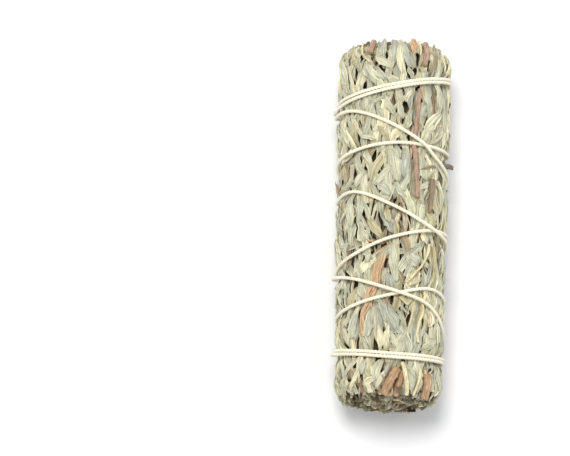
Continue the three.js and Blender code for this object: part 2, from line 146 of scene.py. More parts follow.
# The leaves laid over the skin
CELL = 0.25
MARGIN = 2  # the map goes on past each end of the stick
LEAF_ROWS = 11
LEAF_COLUMNS = 9
NARROW = 1.3  # leaves narrower than this have fewer columns
NARROW_COLUMNS = 5
INNER_COLUMNS = 7
FILLER_COUNT = 190
SCRAP_COUNT = 120
LEAF_THICKNESS = 0.27
SHARP_ANGLE = 60 * DEGREE
ROOF_GROWTH = 1.5
ROOF_BLUR = 3.0
EDGE_ROUGHNESS = 0.12
MIDDLE_BEND = 0.38
BED_SHARE = 0.85  # the share of a row's ground that lies under the row
LINE_SHARE = 0.65  # the share of the rows that lie under the stiff line
MOST_LEAN = 0.3
FILLER_SIZE = 0.62
EARLY_SIZE = 1.15
LATE_SIZE = 0.9
LATE_SHARE = 0.6  # the share of the leaves after which smaller ones are laid, in the lowest places
CROOKED_SHARE = 0.2
CROOKED_SPREAD = 40  # in degrees
STRAIGHT_SPREAD = 14  # in degrees
TIP_DOWN_SHARE = 0.62  # the share of the leaves whose tips point to the butt
LENGTHS = (7, 17)
SLIMNESS = (0.12, 0.23)  # widths as shares of the length
WIDEST = 3.3
STRIP_SHARE = 0.4
STRIP_WIDTHS = (0.45, 1.2)
TORN_SHARE = 0.5
CRUMB_SHARE = 0.5
TWIG_TONES = {0.56: 0.4, 0.62: 0.3, 0.8: 0.15, 0.96: 0.15}  # each with its share, as below
SEED = 20

# The form of a laid leaf
WIDEST_PLACES = (0.85, 1.5)
BLUNTNESS = (0.4, 0.85)
ROLLED_UP_SHARE = 0.62
ROLLED_UP = (0.42, 0.2)
ROLLED_DOWN = (-0.4, 0.15)
CREASE = 0.1
CRUMPLE = 0.18
RIPPLES = (0.03, 0.16)
CURL_NARROWS = 0.15
SNAKING = 0.2
STIFFNESS = (0.55, 0.95)
GAPS = (0.02, 0.14)
BASE_DIPS = (0.3, 1.3)
TIP_LIFTS = (0.2, 0.9)
TIP_DROPS = (0, 0.5)
TIP_SHARES = (0.2, 0.8)
THICKNESS_RANGE = (0.8, 1.3)

# The leaves and stems inside: their rings' radii, and how far apart they stand
RING_FIRST = 0.8
RING_LAST = 13
RING_GAP = 0.95
STRIP_GAP = 1.55
STEM_SHARE = 0.13
MOST_STEM_RADIUS = 12.0
FROM_END = np.array([0, 0.7, 1.8, 4, 20])
# How far from the axis a leaf inside reaches, in the middle of the stick and at its ends
INSIDE_REACH = (11.8, 13.9)
REACH_FADE = 5.0
# Painted shade inside the stick: how bright a strip is painted away from the ends, and at them
INSIDE_SHADE = 0.15
INSIDE_BRIGHT = {0.35: 0.35, 0.7: 0.25, 1.0: 0.4}
INSIDE_FADE = 3.6
INSIDE_TONES = {0.14: 0.12, 0.3: 0.26, 0.42: 0.22, 0.58: 0.22, 0.8: 0.1, 0.94: 0.08}
INSIDE_HALF_WIDTHS = (0.7, 1.7)
SPLAY = 0.3
# How much shorter than the stick it is at the butt and at the crown: at most, and at least
SHORTER = (4.0, 3.6)
LEAST_SHORTER = (0.5, 0.0)
# Thick stems that show in the butt's face: degrees, mm from the axis, radius in mm, kind
FACE_STEMS = [
    (158, 7.1, 1.5, "brown_stem"), (148, 12.4, 0.85, "brown_stem"), (213, 6.6, 0.8, "brown_stem"),
    (232, 12.4, 0.55, "straw_stem"), (196, 11.6, 0.7, "straw_stem"), (20, 6.0, 1.2, "brown_stem"),
]

STEM_POINTS = 80
# Loose stems at their places in the model: name, material slot, width, taper, and route as degrees, mm along and
# mm deep
LOOSE_STEMS = [
    ("long_brown_stem", "brown_stem", 1.2, -0.3,
     [(26, 36, 0.7), (24, 30, 0.7), (22, 24.5, 0.7), (21.6, 18.7, 0.7), (23.5, 13, 0.7), (26, 5, 0.9)]),
    ("short_tan_stem", "brown_stem", 1.6, 0.2, [(46.5, 11, 0.9), (42.5, 1.5, 0.8)]),
    ("curved_pale_stem", "straw_stem", 0.9, 0.3,
     [(42.5, -7.8, 0.6), (40, -10.5, 0.5), (32.7, -14.3, 0.5), (23.7, -17.1, 0.5), (16, -19.6, 0.6)]),
    ("right_pale_stem", "straw_stem", 1.0, 0.2,
     [(40, -21, 0.6), (36.6, -26.2, 0.5), (29, -33, 0.5), (30.5, -36, 0.6)]),
    ("cut_stub", "brown_stem", 1.4, 0.0, [(66, 16.7, 2.2), (78, 17, 0.6), (89, 17.3, -1.1)]),
    ("butt_stem_1", "brown_stem", 2.6, 0.0, [(8, -43.6, 1.3), (-7, -50.3, 1.3)]),
    ("butt_stem_2", "brown_stem", 2.0, 0.0, [(16, -44, 3.2), (9, -50.3, 3.2)]),
    ("butt_stem_3", "brown_stem", 2.6, 0.0, [(47, -44, 1.3), (52, -50.3, 1.3)]),
    ("pale_cut_stem", "straw_stem", 1.3, 0.0, [(13.5, -42, 0.7), (22, -50.4, 0.7)]),
    ("thin_pale_stem", "straw_stem", 0.8, 0.0, [(35, -43.5, 0.6), (31, -50.4, 0.6)]),
    ("bent_twig", "straw_stem", 0.8, 0.3, [(-40.5, 50, 0.5), (-36.5, 46.4, 0.5), (-27, 43.4, 0.5)]),
    ("crown_stem_1", "brown_stem", 1.7, 0.0, [(-27, 50.3, 0.9), (-28, 46.4, 0.9)]),
    ("crown_stem_2", "brown_stem", 1.8, 0.0, [(36.5, 50.3, 0.9), (31, 43.4, 0.9)]),
]

# The stems whose material isn't the usual one of their slot
STEM_PAINTS = {
    "butt_stem_1": "dry_ruddy_stem",
    "butt_stem_2": "dry_ruddy_stem",
    "butt_stem_3": "dry_ruddy_stem",
    "cut_stub": "dry_grey_stem",
    "short_tan_stem": "dry_dull_stem",
}

# The tones by name, as places on the ramp of leaf colours
TONES = {"blue": 0.05, "grey": 0.2, "pale": 0.34, "cream": 0.56, "straw": 0.64, "olive": 0.8, "brown": 0.94}
# Tones of the random leaves: middle, spread and share
TONE_SHARES = [
    (0.3, 0.06, 0.42), (0.42, 0.05, 0.22), (0.14, 0.05, 0.13), (0.58, 0.04, 0.11), (0.78, 0.05, 0.07),
    (0.94, 0.04, 0.05),
]
# Leaves on top that show in the photograph, each laid over the ones before it: degrees and mm along of its
# base and of its tip, its width and its tone
TOP_LEAVES = [
    # the crown
    (-14, 44, -15, 51, 2.5, "grey"), (-1, 43, -3, 51, 2.5, "blue"), (6, 43, 8, 50, 2.0, "grey"),
    (19, 42, 7, 46, 2.2, "blue"), (26, 42, 29, 50, 1.8, "cream"), (37, 41, 52, 51, 2.4, "brown"),
    (52, 40, 51, 46, 2.1, "olive"), (69, 41, 82, 49, 2.5, "straw"), (-59, 39, -79, 50, 2.2, "pale"),
    (-40, 41, -58, 51, 2.1, "olive"), (-65, 49, -42, 35, 1.0, "cream"), (-32, 44, -14, 36, 3.8, "pale"),
    (13, 42, 19, 39, 1.8, "grey"), (-12, 40, 5, 37, 2.0, "pale"), (-19, 36, -32, 42, 1.6, "grey"),
    # between the crown band and the third pass
    (48, 46, 50, 31, 2.1, "pale"), (67, 40, 66, 26, 2.5, "grey"), (34, 37, 43, 28, 2.9, "grey"),
    (-6, 34, -27, 32, 1.8, "pale"), (-13, 34, -0, 28, 1.8, "pale"), (-21, 32, -14, 27, 1.7, "grey"),
    (-35, 33, -34, 25, 2.5, "olive"), (-60, 34, -51, 26, 1.8, "pale"), (-72, 30, -57, 20, 2.4, "pale"),
    (11, 24, 20, 30, 2.3, "pale"), (-28, 22, -3, 27, 1.1, "cream"), (-49, 29, -34, 22, 1.3, "straw"),
    (-17, 25, -5, 20, 2.5, "olive"), (11, 25, -4, 21, 2.9, "cream"), (18, 36, 11, 32, 1.2, "cream"),
    (23, 28, 36, 32, 2.0, "grey"), (-61, 26, -47, 19, 1.6, "cream"), (-39, 23, -20, 21, 1.6, "pale"),
    # between the third pass and the fourth
    (-49, 20, -71, 15, 3.7, "pale"), (-10, 18, -27, 8, 3.5, "olive"), (-23, 8, -4, 13, 2.2, "pale"),
    (-5, 19, 7, 9, 4.0, "pale"), (12, 19, 12, 10, 3.1, "blue"), (28, 18, 36, 10, 2.6, "pale"),
    (28, 13, 52, 15, 1.4, "brown"), (47, 19, 73, 12, 2.0, "pale"), (-33, 13, -45, 8, 2.5, "pale"),
    (-43, 17, -33, 11, 2.0, "grey"), (-60, 16, -56, 9, 2.4, "brown"), (-45, 10, -78, 8, 1.6, "pale"),
    (7, 9, 21, -1, 2.6, "pale"), (-18, 9, -3, 5, 3.4, "grey"), (-2, 9, 14, 5, 2.4, "grey"),
    (20, 6, 33, 3, 1.8, "olive"), (51, 12, 65, 2, 2.5, "pale"), (69, 12, 78, 0, 2.0, "grey"),
    # between the fourth pass and the sixth
    (-50, 6, -50, -3, 2.9, "pale"), (-66, 7, -68, -2, 2.4, "brown"), (-36, 5, -41, -3, 2.5, "grey"),
    (7, 1, 2, -4, 1.4, "cream"), (-40, -2, -30, -8, 3.4, "pale"), (-29, -1, -10, -7, 3.7, "olive"),
    (-11, -1, 3, -6, 2.9, "blue"), (-46, -2, -49, -9, 2.2, "pale"), (-61, -4, -59, -15, 1.1, "pale"),
    (10, -3, 16, -12, 3.4, "brown"), (26, -3, 20, -10, 2.5, "pale"), (-37, -10, -21, -13, 2.0, "grey"),
    (-32, -14, -22, -12, 1.6, "pale"), (-45, -12, -37, -19, 2.5, "pale"), (17, -11, 28, -15, 3.8, "grey"),
    (7, -16, 15, -20, 2.4, "brown"), (51, -6, 53, -20, 2.1, "olive"), (65, -4, 68, -16, 2.1, "pale"),
    (-7, -17, -0, -23, 2.8, "blue"), (-37, -18, -31, -25, 2.5, "pale"), (37, -15, 34, -21, 2.4, "grey"),
    (-78, -12, -63, -20, 2.4, "grey"), (-16, -16, -10, -21, 1.6, "brown"),
    # between the sixth pass and the butt band
    (-15, -24, -5, -31, 2.5, "blue"), (49, -25, 47, -31, 3.5, "straw"), (25, -30, 26, -38, 3.3, "blue"),
    (10, -32, 24, -40, 2.6, "grey"), (-14, -31, -13, -39, 1.8, "cream"), (-4, -31, -4, -39, 2.2, "straw"),
    (-48, -26, -55, -37, 1.3, "cream"), (-60, -18, -91, -24, 2.5, "pale"), (-42, -28, -45, -35, 3.0, "grey"),
    (-21, -27, -26, -35, 2.6, "grey"), (-93, -26, -101, -34, 2.5, "pale"), (-66, -26, -61, -36, 1.8, "olive"),
    (-40, -20, -57, -27, 2.9, "olive"), (16, -32, 7, -37, 2.2, "pale"), (41, -32, 42, -37, 1.8, "pale"),
    (63, -25, 62, -35, 2.2, "pale"), (36, -38, 58, -34, 2.4, "pale"), (5, -32, 13, -34, 2.0, "grey"),
    # below the butt band
    (-37, -40, -62, -46, 1.8, "pale"), (-33, -43, -53, -49, 1.7, "cream"), (-14, -46, -33, -48, 1.8, "cream"),
    (-12, -41, -16, -47, 3.4, "pale"), (2, -42, -16, -49, 1.5, "straw"), (16, -41, 32, -50, 3.6, "grey"),
    (31, -40, 34, -46, 3.2, "pale"), (58, -40, 83, -50, 2.1, "grey"), (99, -37, 88, -48, 2.0, "pale"),
    (-68, -39, -62, -45, 1.8, "pale"), (-45, -47, -103, -53, 1.4, "straw"),
    (-25, -47, -24, -52, 2.0, "cream"),
    (-55, -45, -69, -50, 1.7, "pale"), (-28, -41, -35, -45, 2.4, "grey"), (-1, -42, -4, -46, 2.0, "grey"),
]
# Small leaves laid last, where the pile would be open
CLOSING_LEAVES = [
    (3, 33, 9, 27, 1.9, "pale"), (-20, 43, -12, 38, 2.2, "grey"), (2, 37, 7, 32, 2.0, "pale"),
    (0, 21, 5, 15, 1.9, "grey"), (-33, 19, -25, 14, 2.0, "pale"), (27, 25, 22, 20, 1.8, "grey"),
    (-24, 9, -16, 4, 2.0, "pale"), (16, 12, 10, 6, 2.0, "grey"), (-33, 4, -27, -2, 1.8, "pale"),
    (0, -2, 7, -7, 2.6, "olive"), (-1, -33, 5, -38, 2.0, "pale"), (-59, 30, -50, 24, 1.9, "pale"),
    (19, -13, 14, -18, 1.8, "grey"), (-10, 2, -3, -3, 2.7, "olive"), (37, 25, 33, 20, 1.6, "pale"),
    (-24, 32, -30, 28, 1.7, "pale"),
]

# Leaves that are pieces of their own in the model: name, material slot, tone, width, base, middle and tip in
# degrees and mm along
LOOSE_LEAVES = [
    ("olive_leaf", "leaf", "olive", 5.2, [(19, -23.8), (18, -27.5), (19, -31.5)]),
    ("blue_grey_leaf", "leaf", "grey", 2.6, [(-4, -25), (2, -29), (7, -33)]),
    ("round_leaf", "leaf", "pale", 2.9, [(-1, -8.4), (2, -14), (5, -19.6)]),
    ("broad_leaf_2", "leaf_pale", "pale", 2.2, [(64, 27.6), (51, 24), (39, 20.6)]),
    ("broad_leaf_1", "leaf_pale", "pale", 3.2, [(54, 31), (41, 26), (29, 21.4)]),
    ("oblong_leaf", "leaf_pale", "pale", 2.3, [(-22, 45.3), (-13, 43.5), (-4.5, 41.6)]),
    ("cream_leaf", "leaf_pale", "cream", 2.2, [(2, 50), (4, 45), (6, 40)]),
]

# Peeled bark: name, route in degrees and mm along, and slivers as shift to the side, width, and start and end as
# shares of the route
BARK = [
    ("bark_strip", [(-15, -10.5), (-18.5, -20), (-27.5, -25), (-32, -29.5), (-29.5, -35.3)],
     [(0.1, 1.5, 0.03, 0.98), (-0.7, 0.9, 0.0, 0.7), (0.8, 0.9, 0.08, 0.55), (0.5, 0.8, 0.3, 0.94),
      (-0.4, 0.7, 0.45, 0.9), (-1.2, 0.35, 0.05, 0.3)]),
    ("bark_strip", [(-6.5, -11.5), (-13.5, -16.5), (-21, -22)],
     [(0.0, 0.8, 0.0, 1.0), (0.5, 0.5, 0.1, 0.7)]),
    ("bark_strip", [(-42, -6.3), (-26, -7.6), (-14, -8.2), (-6.5, -8.1)],
     [(0.0, 0.4, 0.0, 1.0), (0.3, 0.3, 0.3, 0.85)]),
    ("bark_strip", [(-6.5, -8.1), (-4.8, -9.2), (-10.7, -10.9), (-16.8, -12.5)],
     [(0.0, 0.45, 0.0, 1.0), (0.4, 0.3, 0.35, 1.0)]),
    ("crown_bark", [(18.5, 52), (21, 46.5)],
     [(0.0, 1.2, 0.0, 1.0), (-0.8, 0.8, 0.0, 0.8), (0.8, 0.7, 0.1, 0.95)]),
]


# Random numbers and curves

def clipped(dice, mean, spread, low=0.0, high=1.0):
    """A normal random number kept between two limits."""
    return float(np.clip(dice.normal(mean, spread), low, high))


def drawn(dice, shares):
    """One of some values, each with its share."""
    return dice.choice([*shares], p=[*shares.values()])


def wave(dice, t, least, most):
    """A sine with a random pitch and phase."""
    return np.sin(t * dice.uniform(least, most) + dice.uniform(0, TURN))


def catmull(points, count):
    """Points spaced along the smooth curve that the part's source makes of a route."""
    p = np.asarray(points, float)
    ends = np.vstack([2 * p[0] - p[1], p, 2 * p[-1] - p[-2]])
    share = np.linspace(0, len(p) - 1, count)
    k = np.minimum(share.astype(int), len(p) - 2)
    w = (share - k)[:, None]
    a, b, c, d = (ends[k + i] for i in range(4))
    gap = [np.maximum(np.linalg.norm(y - x, axis=1), 1e-9) ** 0.5 for x, y in ((a, b), (b, c), (c, d))]
    g0, g1, g2 = (g[:, None] for g in gap)
    m1 = ((b - a) / g0 - (c - a) / (g0 + g1) + (c - b) / g1) * g1
    m2 = ((c - b) / g1 - (d - b) / (g1 + g2) + (d - c) / g2) * g1
    return b + m1 * w + (3 * (c - b) - 2 * m1 - m2) * w**2 + (2 * (b - c) + m1 + m2) * w**3


def smoothstep(x):
    x = np.clip(x, 0, 1)
    return x * x * (3 - 2 * x)


def skin_radius(angle, along):
    """Radius of the stick's outside, as in the part's source."""
    taper = BUTT_RADIUS + (CROWN_RADIUS - BUTT_RADIUS) * (along / LENGTH + 0.5)
    from_end = np.maximum(LENGTH / 2 - np.abs(along), 0)
    rounding = END_ROUNDING * np.maximum(1 - from_end / END_ROUNDING_LENGTH, 0) ** 2
    downwards = np.maximum(-np.cos(angle), 0.001)
    return np.minimum(taper - rounding, AXIS_HEIGHT / downwards)


def round_axis(angle, along, radius):
    """Points in millimetres."""
    return np.stack([radius * np.sin(angle), along, AXIS_HEIGHT + radius * np.cos(angle)], axis=-1)


def on_stick(angle, along, radius):
    """Points in metres."""
    return MM * round_axis(angle, along, radius)


def unrolled(points, count):
    """A route of (degrees, along, depth) as arc, along and depth in millimetres."""
    return catmull([(d * ARC, *rest) for d, *rest in points], count)


def string_route(count):
    """The string's centre line on the unrolled skin: arc, along, lift in millimetres."""
    return unrolled([(360 * k + d, along / MM, lift / MM)
                     for k, turn in enumerate(STRING_TURNS) for d, along, lift in turn], count)


# The unrolled skin

class Skin:
    """Heights over the unrolled skin, on a grid that closes round the stick."""

    def __init__(self, fill=0.0):
        self.around = round(ROUND / CELL)
        self.along = round((LENGTH + 2 * MARGIN) / CELL)
        self.grid = np.full((self.around, self.along), fill)

    def places(self, arc, along):
        i = np.floor(arc / ROUND * self.around).astype(int) % self.around
        j = np.clip(((along + LENGTH / 2 + MARGIN) / CELL).astype(int), 0, self.along - 1)
        return i, j

    def read(self, arc, along):
        return self.grid[self.places(arc, along)]

    def read_smooth(self, arc, along):
        x = arc / ROUND * self.around - 0.5
        y = np.clip((along + LENGTH / 2 + MARGIN) / CELL - 0.5, 0, self.along - 1.001)
        i, j = np.floor(x).astype(int), np.floor(y).astype(int)
        fx, fy = x - i, y - j
        g, n = self.grid, self.around
        low = g[i % n, j] * (1 - fx) + g[(i + 1) % n, j] * fx
        high = g[i % n, j + 1] * (1 - fx) + g[(i + 1) % n, j + 1] * fx
        return low * (1 - fy) + high * fy

    def raise_to(self, arc, along, height):
        np.maximum.at(self.grid, self.places(arc, along), height)

    def centres(self):
        arc = (np.arange(self.around) + 0.5) / self.around * ROUND
        along = (np.arange(self.along) + 0.5) * CELL - LENGTH / 2 - MARGIN
        return np.meshgrid(arc, along, indexing="ij")

    def swept(self, reach, combine):
        """A copy in which each place combines the values within a number of cells, round and then along."""
        made = Skin()
        around = combine([np.roll(self.grid, i, axis=0) for i in range(-reach, reach + 1)])
        padded = np.pad(around, ((0, 0), (reach, reach)), mode="edge")
        made.grid = combine([padded[:, i:i + self.along] for i in range(2 * reach + 1)])
        return made

    def blurred(self, radius):
        """A copy blurred over a radius in millimetres."""
        cells = max(int(radius / CELL), 1)
        weights = np.exp(-0.5 * (np.arange(-2 * cells, 2 * cells + 1) / cells) ** 2)
        weights /= weights.sum()
        return self.swept(2 * cells, lambda grids: sum(w * grid for w, grid in zip(weights, grids)))

    def grown(self, radius):
        """A copy in which each place has the highest value within a radius."""
        return self.swept(max(int(radius / CELL), 1), lambda grids: np.max(grids, axis=0))


def distance_map(samples, reach):
    """Distance from each place on the skin to a line of samples, up to a reach."""
    made = Skin(reach)
    arc, along = made.centres()
    for a, y in samples[:, :2]:
        near = np.abs(along[0] - y) < reach
        apart = (arc[:, near] - a + ROUND / 2) % ROUND - ROUND / 2
        made.grid[:, near] = np.minimum(made.grid[:, near], np.hypot(apart, along[:, near] - y))
    return made


# Leaves

@functools.lru_cache
def strip_faces(rows, columns):
    """Quads of a closed thin strip: an upper grid, a lower grid and the rim between them."""
    top = np.arange(rows * columns).reshape(rows, columns)
    low = top + rows * columns
    upper = top[:-1, :-1], top[:-1, 1:], top[1:, 1:], top[1:, :-1]
    lower = low[:-1, :-1], low[1:, :-1], low[1:, 1:], low[:-1, 1:]
    left = top[:-1, 0], top[1:, 0], low[1:, 0], low[:-1, 0]
    right = top[1:, -1], top[:-1, -1], low[:-1, -1], low[1:, -1]
    start = top[0, 1:], top[0, :-1], low[0, :-1], low[0, 1:]
    end = top[-1, :-1], top[-1, 1:], low[-1, 1:], low[-1, :-1]
    return np.vstack([np.stack(side, -1).reshape(-1, 4) for side in (upper, lower, left, right, start, end)])


class Pile:
    """The strips laid so far on the unrolled skin, by piece: arc, along and height, look and map."""

    def __init__(self):
        self.strips = {}

    def add(self, piece, points, look, uv):
        self.strips.setdefault(piece, []).append((points, look, uv))


def outline(t, widest, blunt):
    """Share of a leaf's full width at t, from its base to its tip."""
    return np.sin(np.pi * np.clip(t, 0.001, 0.999) ** widest) ** blunt


def leaf_line(length, heading, bend, cut):
    """Rows along the middle of a leaf: share, arc and along from its base, and direction."""
    x = np.linspace(0, 1, LEAF_ROWS)
    x = 0.45 * x + 0.275 * (1 - np.cos(np.pi * x))
    t = cut[0] + (cut[1] - cut[0]) * x
    turn = heading + bend * (t - 0.5)
    step = np.diff(t, prepend=t[0]) * length
    middle = turn - bend * np.diff(t, prepend=t[0]) / 2
    return t, np.cumsum(np.sin(middle) * step), np.cumsum(np.cos(middle) * step), turn


def cross_section(dice, half, width, t, u, rolled=None):
    """Heights over a leaf's width: margins rolled up or down, creases along it and a rippled edge."""
    if rolled is None:
        rolled = dice.normal(*(ROLLED_UP if dice.uniform() < ROLLED_UP_SHARE else ROLLED_DOWN))
    left, right = rolled + dice.normal(0, 0.13, 2)
    sides = np.where(u < 0, left, right) * np.abs(u) ** dice.choice([1.0, 2.0, 3.0])
    crease = CREASE * np.cos(dice.uniform(3, 8) * u + dice.uniform(0, TURN))
    rippled = dice.uniform(*RIPPLES) * width / 3
    waves = dice.uniform(6, 16)
    phase = dice.uniform(0, TURN, 2)
    ripple = np.sin(waves * t + phase[0])[:, None] * np.maximum(u, 0) ** 2
    ripple += np.sin(0.8 * waves * t + phase[1])[:, None] * np.maximum(-u, 0) ** 2
    turns = dice.uniform(4, 12), dice.uniform(2, 5)
    crumple = CRUMPLE * np.sin(turns[0] * t + phase[1])[:, None] * np.cos(turns[1] * u + phase[0])
    return half[:, None] * (sides + crease + crumple) + rippled * ripple


def smoothed(values):
    return np.convolve(np.pad(values, 1, mode="edge"), [0.25, 0.5, 0.25], mode="valid")


def lay_strip(dice, skin, line, half, section, **how):
    """Lays a strip on what lies there already, nearly as stiff as a dry leaf, and raises the skin by it."""
    t, mid_arc, mid_along, turn = line
    u = np.linspace(-1, 1, section.shape[1])
    edges = half[:, None] * (1 + dice.normal(0, EDGE_ROUGHNESS, (LEAF_ROWS, 2)))
    side = np.where(u < 0, edges[:, :1], edges[:, 1:]) * u
    side *= 1 - CURL_NARROWS * np.abs(section[:, [0, -1]]).max() / max(half.max(), 0.1)
    side += SNAKING * half.max() * wave(dice, t, 2, 7)[:, None]
    arc = mid_arc[:, None] + np.cos(turn)[:, None] * side
    along = mid_along[:, None] - np.sin(turn)[:, None] * side
    ground = skin.read(arc, along) - section
    need = np.quantile(ground, BED_SHARE, axis=1)
    stiffness = how.get("stiffness", dice.uniform(*STIFFNESS))
    line_height = np.polyval(np.polyfit(t, need, 3), t)
    line_height += np.quantile(need - line_height, LINE_SHARE)
    need = smoothed(stiffness * line_height + (1 - stiffness) * need)
    lean = (ground[:, -2:].mean(1) - ground[:, :2].mean(1)) / np.maximum(3 * half, 0.5)
    lean = smoothed(np.clip(lean, -MOST_LEAN, MOST_LEAN))
    low = need[:, None] + section + (lean * half)[:, None] * u + how.get("gap", dice.uniform(*GAPS))
    x = (t - t[0]) / (t[-1] - t[0])
    low = low - (how.get("dip", dice.uniform(*BASE_DIPS)) * smoothstep(1 - x / 0.25))[:, None]
    tip = how.get("tip", dice.choice([dice.uniform(*TIP_LIFTS), -dice.uniform(*TIP_DROPS)], p=TIP_SHARES))
    low = low + (tip * smoothstep((x - 0.7) / 0.3))[:, None]
    thickness = how.get("thickness", LEAF_THICKNESS * dice.uniform(*THICKNESS_RANGE))
    high = low + thickness * (0.6 + 0.4 * (1 - u**2)) * (0.65 + 0.35 * np.sin(np.pi * x))[:, None]
    raise_by_patch(skin, arc, along, high)
    return np.stack([np.concatenate(pair) for pair in ((arc, arc), (along, along), (high, low))], -1)


def raise_by_patch(skin, arc, along, high):
    """Raises the skin under a grid of heights, at places between its rows and columns too."""
    quarters = (0, 0.25, 0.5, 0.75)
    for f in quarters:
        for g in quarters:
            skin.raise_to(*((1 - f) * ((1 - g) * v[:-1, :-1] + g * v[:-1, 1:])
                            + f * ((1 - g) * v[1:, :-1] + g * v[1:, 1:]) for v in (arc, along, high)))


def strip_look(dice, points, t, tone, value, scale):
    """Tone, lightness, a number of its own and shade of a strip, and its map."""
    look = np.empty((*points.shape[:2], 4))
    look[...] = (tone, value, dice.uniform(), 1)
    uv = np.empty((*points.shape[:2], 2))
    uv[..., 0] = np.linspace(0, 1, points.shape[1])
    uv[..., 1] = np.concatenate([t, t])[:, None] * scale
    return look, uv


def lay_leaf(dice, skin, pile, arc, along, heading, length, width, tone, value, piece=None, **how):
    """Lays one leaf with its base at a place, cut off where it passes the end of the stick."""
    bend = how.get("bend", dice.normal(0, MIDDLE_BEND))
    widest = how.get("widest", dice.uniform(*WIDEST_PLACES))
    blunt = how.get("blunt", dice.uniform(*BLUNTNESS))
    cut = how.get("cut", (0.0, 1.0))
    t, da, dy, turn = leaf_line(length, heading, bend, cut)
    past_end = how.get("past_end", 0.5 - dice.uniform(0, 6.0) * dice.uniform(0, 1))
    inside = np.abs(along + dy) < LENGTH / 2 + past_end
    if inside.sum() < 3:
        return
    if not inside.all():
        first, last = np.flatnonzero(inside)[[0, -1]]
        how.update(bend=bend, widest=widest, blunt=blunt, cut=(t[first], t[last]), dip=0.1)
        lay_leaf(dice, skin, pile, arc + da[first], along + dy[first], heading, length, width, tone, value,
                 piece, **how)
        return
    half = width / 2 * np.maximum(outline(t, widest, blunt), 0.05) * (1 + dice.normal(0, 0.05, LEAF_ROWS))
    columns = NARROW_COLUMNS if width < NARROW else LEAF_COLUMNS
    section = cross_section(dice, half, width, t, np.linspace(-1, 1, columns), how.get("rolled"))
    points = lay_strip(dice, skin, (t, arc + da, along + dy, turn), half, section, **how)
    look, uv = strip_look(dice, points, t, tone, value, length / 10)
    home = int((arc + da[LEAF_ROWS // 2]) % ROUND // (ROUND / OUTER_COUNT))
    pile.add(piece or f"outer_sprig_{home + 1:02d}", points, look, uv)


def lay_sliver(dice, skin, pile, piece, route, shift, width, start, end):
    """Lays one sliver of bark along its route."""
    t = np.linspace(start, end, LEAF_ROWS)
    fine = catmull([(d * ARC, y) for d, y in route], 200)
    arc, along = (np.interp(t, np.linspace(0, 1, 200), fine[:, i]) for i in (0, 1))
    along = np.minimum(along, LENGTH / 2 - 0.1)
    turn = np.arctan2(np.gradient(arc), np.gradient(along))
    arc, along = arc + shift * np.cos(turn), along - shift * np.sin(turn)
    x = np.linspace(0, 1, LEAF_ROWS)
    half = width / 2 * (0.25 + 0.75 * np.sin(np.pi * np.clip(x, 0.05, 0.95)) ** 0.4)
    half *= 1 + dice.normal(0, 0.1, LEAF_ROWS)
    across = np.linspace(-1, 1, NARROW_COLUMNS)
    section = cross_section(dice, half, width, t, across, dice.normal(0.1, 0.2))
    points = lay_strip(dice, skin, (t, arc, along, turn), half, section, stiffness=0.8, gap=0.1, dip=0.1,
                       tip=dice.normal(0.05, 0.15), thickness=0.34)
    look, uv = strip_look(dice, points, t, 0.5, float(dice.uniform(0.35, 0.7)), 2.5)
    pile.add(piece, points, look, uv)


def lowest_place(dice, skin, tries, span=2.5):
    """Of some random places, the one where the pile is lowest."""
    arc = dice.uniform(0, ROUND, tries)
    along = dice.uniform(-LENGTH / 2 - MARGIN, LENGTH / 2 + MARGIN, tries)
    height = sum(skin.read(arc + da, along + dy) for da in (-1, 0, 1) for dy in (-span, 0, span))
    best = int(np.argmin(height))
    return arc[best], along[best]


def pick_tone(dice):
    """Most leaves are pale grey-green, some blue-grey, cream, olive or brown."""
    tones = [dice.normal(middle, spread) for middle, spread, _ in TONE_SHARES]
    return float(np.clip(dice.choice(tones, p=[share for *_, share in TONE_SHARES]), 0, 1))


def lay_random_leaf(dice, skin, pile, big, tries):
    """One leaf at random, mostly lengthwise, or a narrow strip of one."""
    arc, along = lowest_place(dice, skin, tries)
    spread = CROOKED_SPREAD if dice.uniform() < CROOKED_SHARE else STRAIGHT_SPREAD
    heading = dice.normal(0, spread) * DEGREE + (np.pi if dice.uniform() < TIP_DOWN_SHARE else 0)
    length = dice.uniform(*LENGTHS) * big
    width = min(length * dice.uniform(*SLIMNESS), WIDEST)
    tone = pick_tone(dice)
    if dice.uniform() < STRIP_SHARE:
        width = dice.uniform(*STRIP_WIDTHS)
        tone = dice.normal(0.58, 0.06) if dice.uniform() < 0.5 else tone
    arc -= np.sin(heading) * length / 2
    along -= np.cos(heading) * length / 2
    value = clipped(dice, 0.5, 0.17, 0.05, 0.95)
    torn = dice.uniform() < TORN_SHARE
    ends = (dice.uniform(0, 0.3), dice.uniform(0.65, 0.95)) if torn else (0.0, 1.0)
    lay_leaf(dice, skin, pile, arc, along, heading, length, width, tone, value, cut=ends)


def lay_scrap(dice, skin, pile):
    """A crumb of leaf, or a thin curled twig."""
    arc, along = lowest_place(dice, skin, 9, 1.0)
    if dice.uniform() < CRUMB_SHARE:
        heading = dice.uniform(0, TURN)
        length, width = dice.uniform(1.2, 3.2), dice.uniform(0.6, 1.25)
        tone = pick_tone(dice)
    else:
        heading = dice.normal(0, 0.5)
        length, width = dice.uniform(5, 13), dice.uniform(0.3, 0.55)
        tone = drawn(dice, TWIG_TONES)
    lay_leaf(dice, skin, pile, arc, along, heading, length, width, tone, float(dice.uniform(0.3, 0.8)),
             bend=dice.normal(0, 0.7), cut=(0.15, 0.85), dip=0.0, gap=0.05, stiffness=0.5, thickness=0.24)


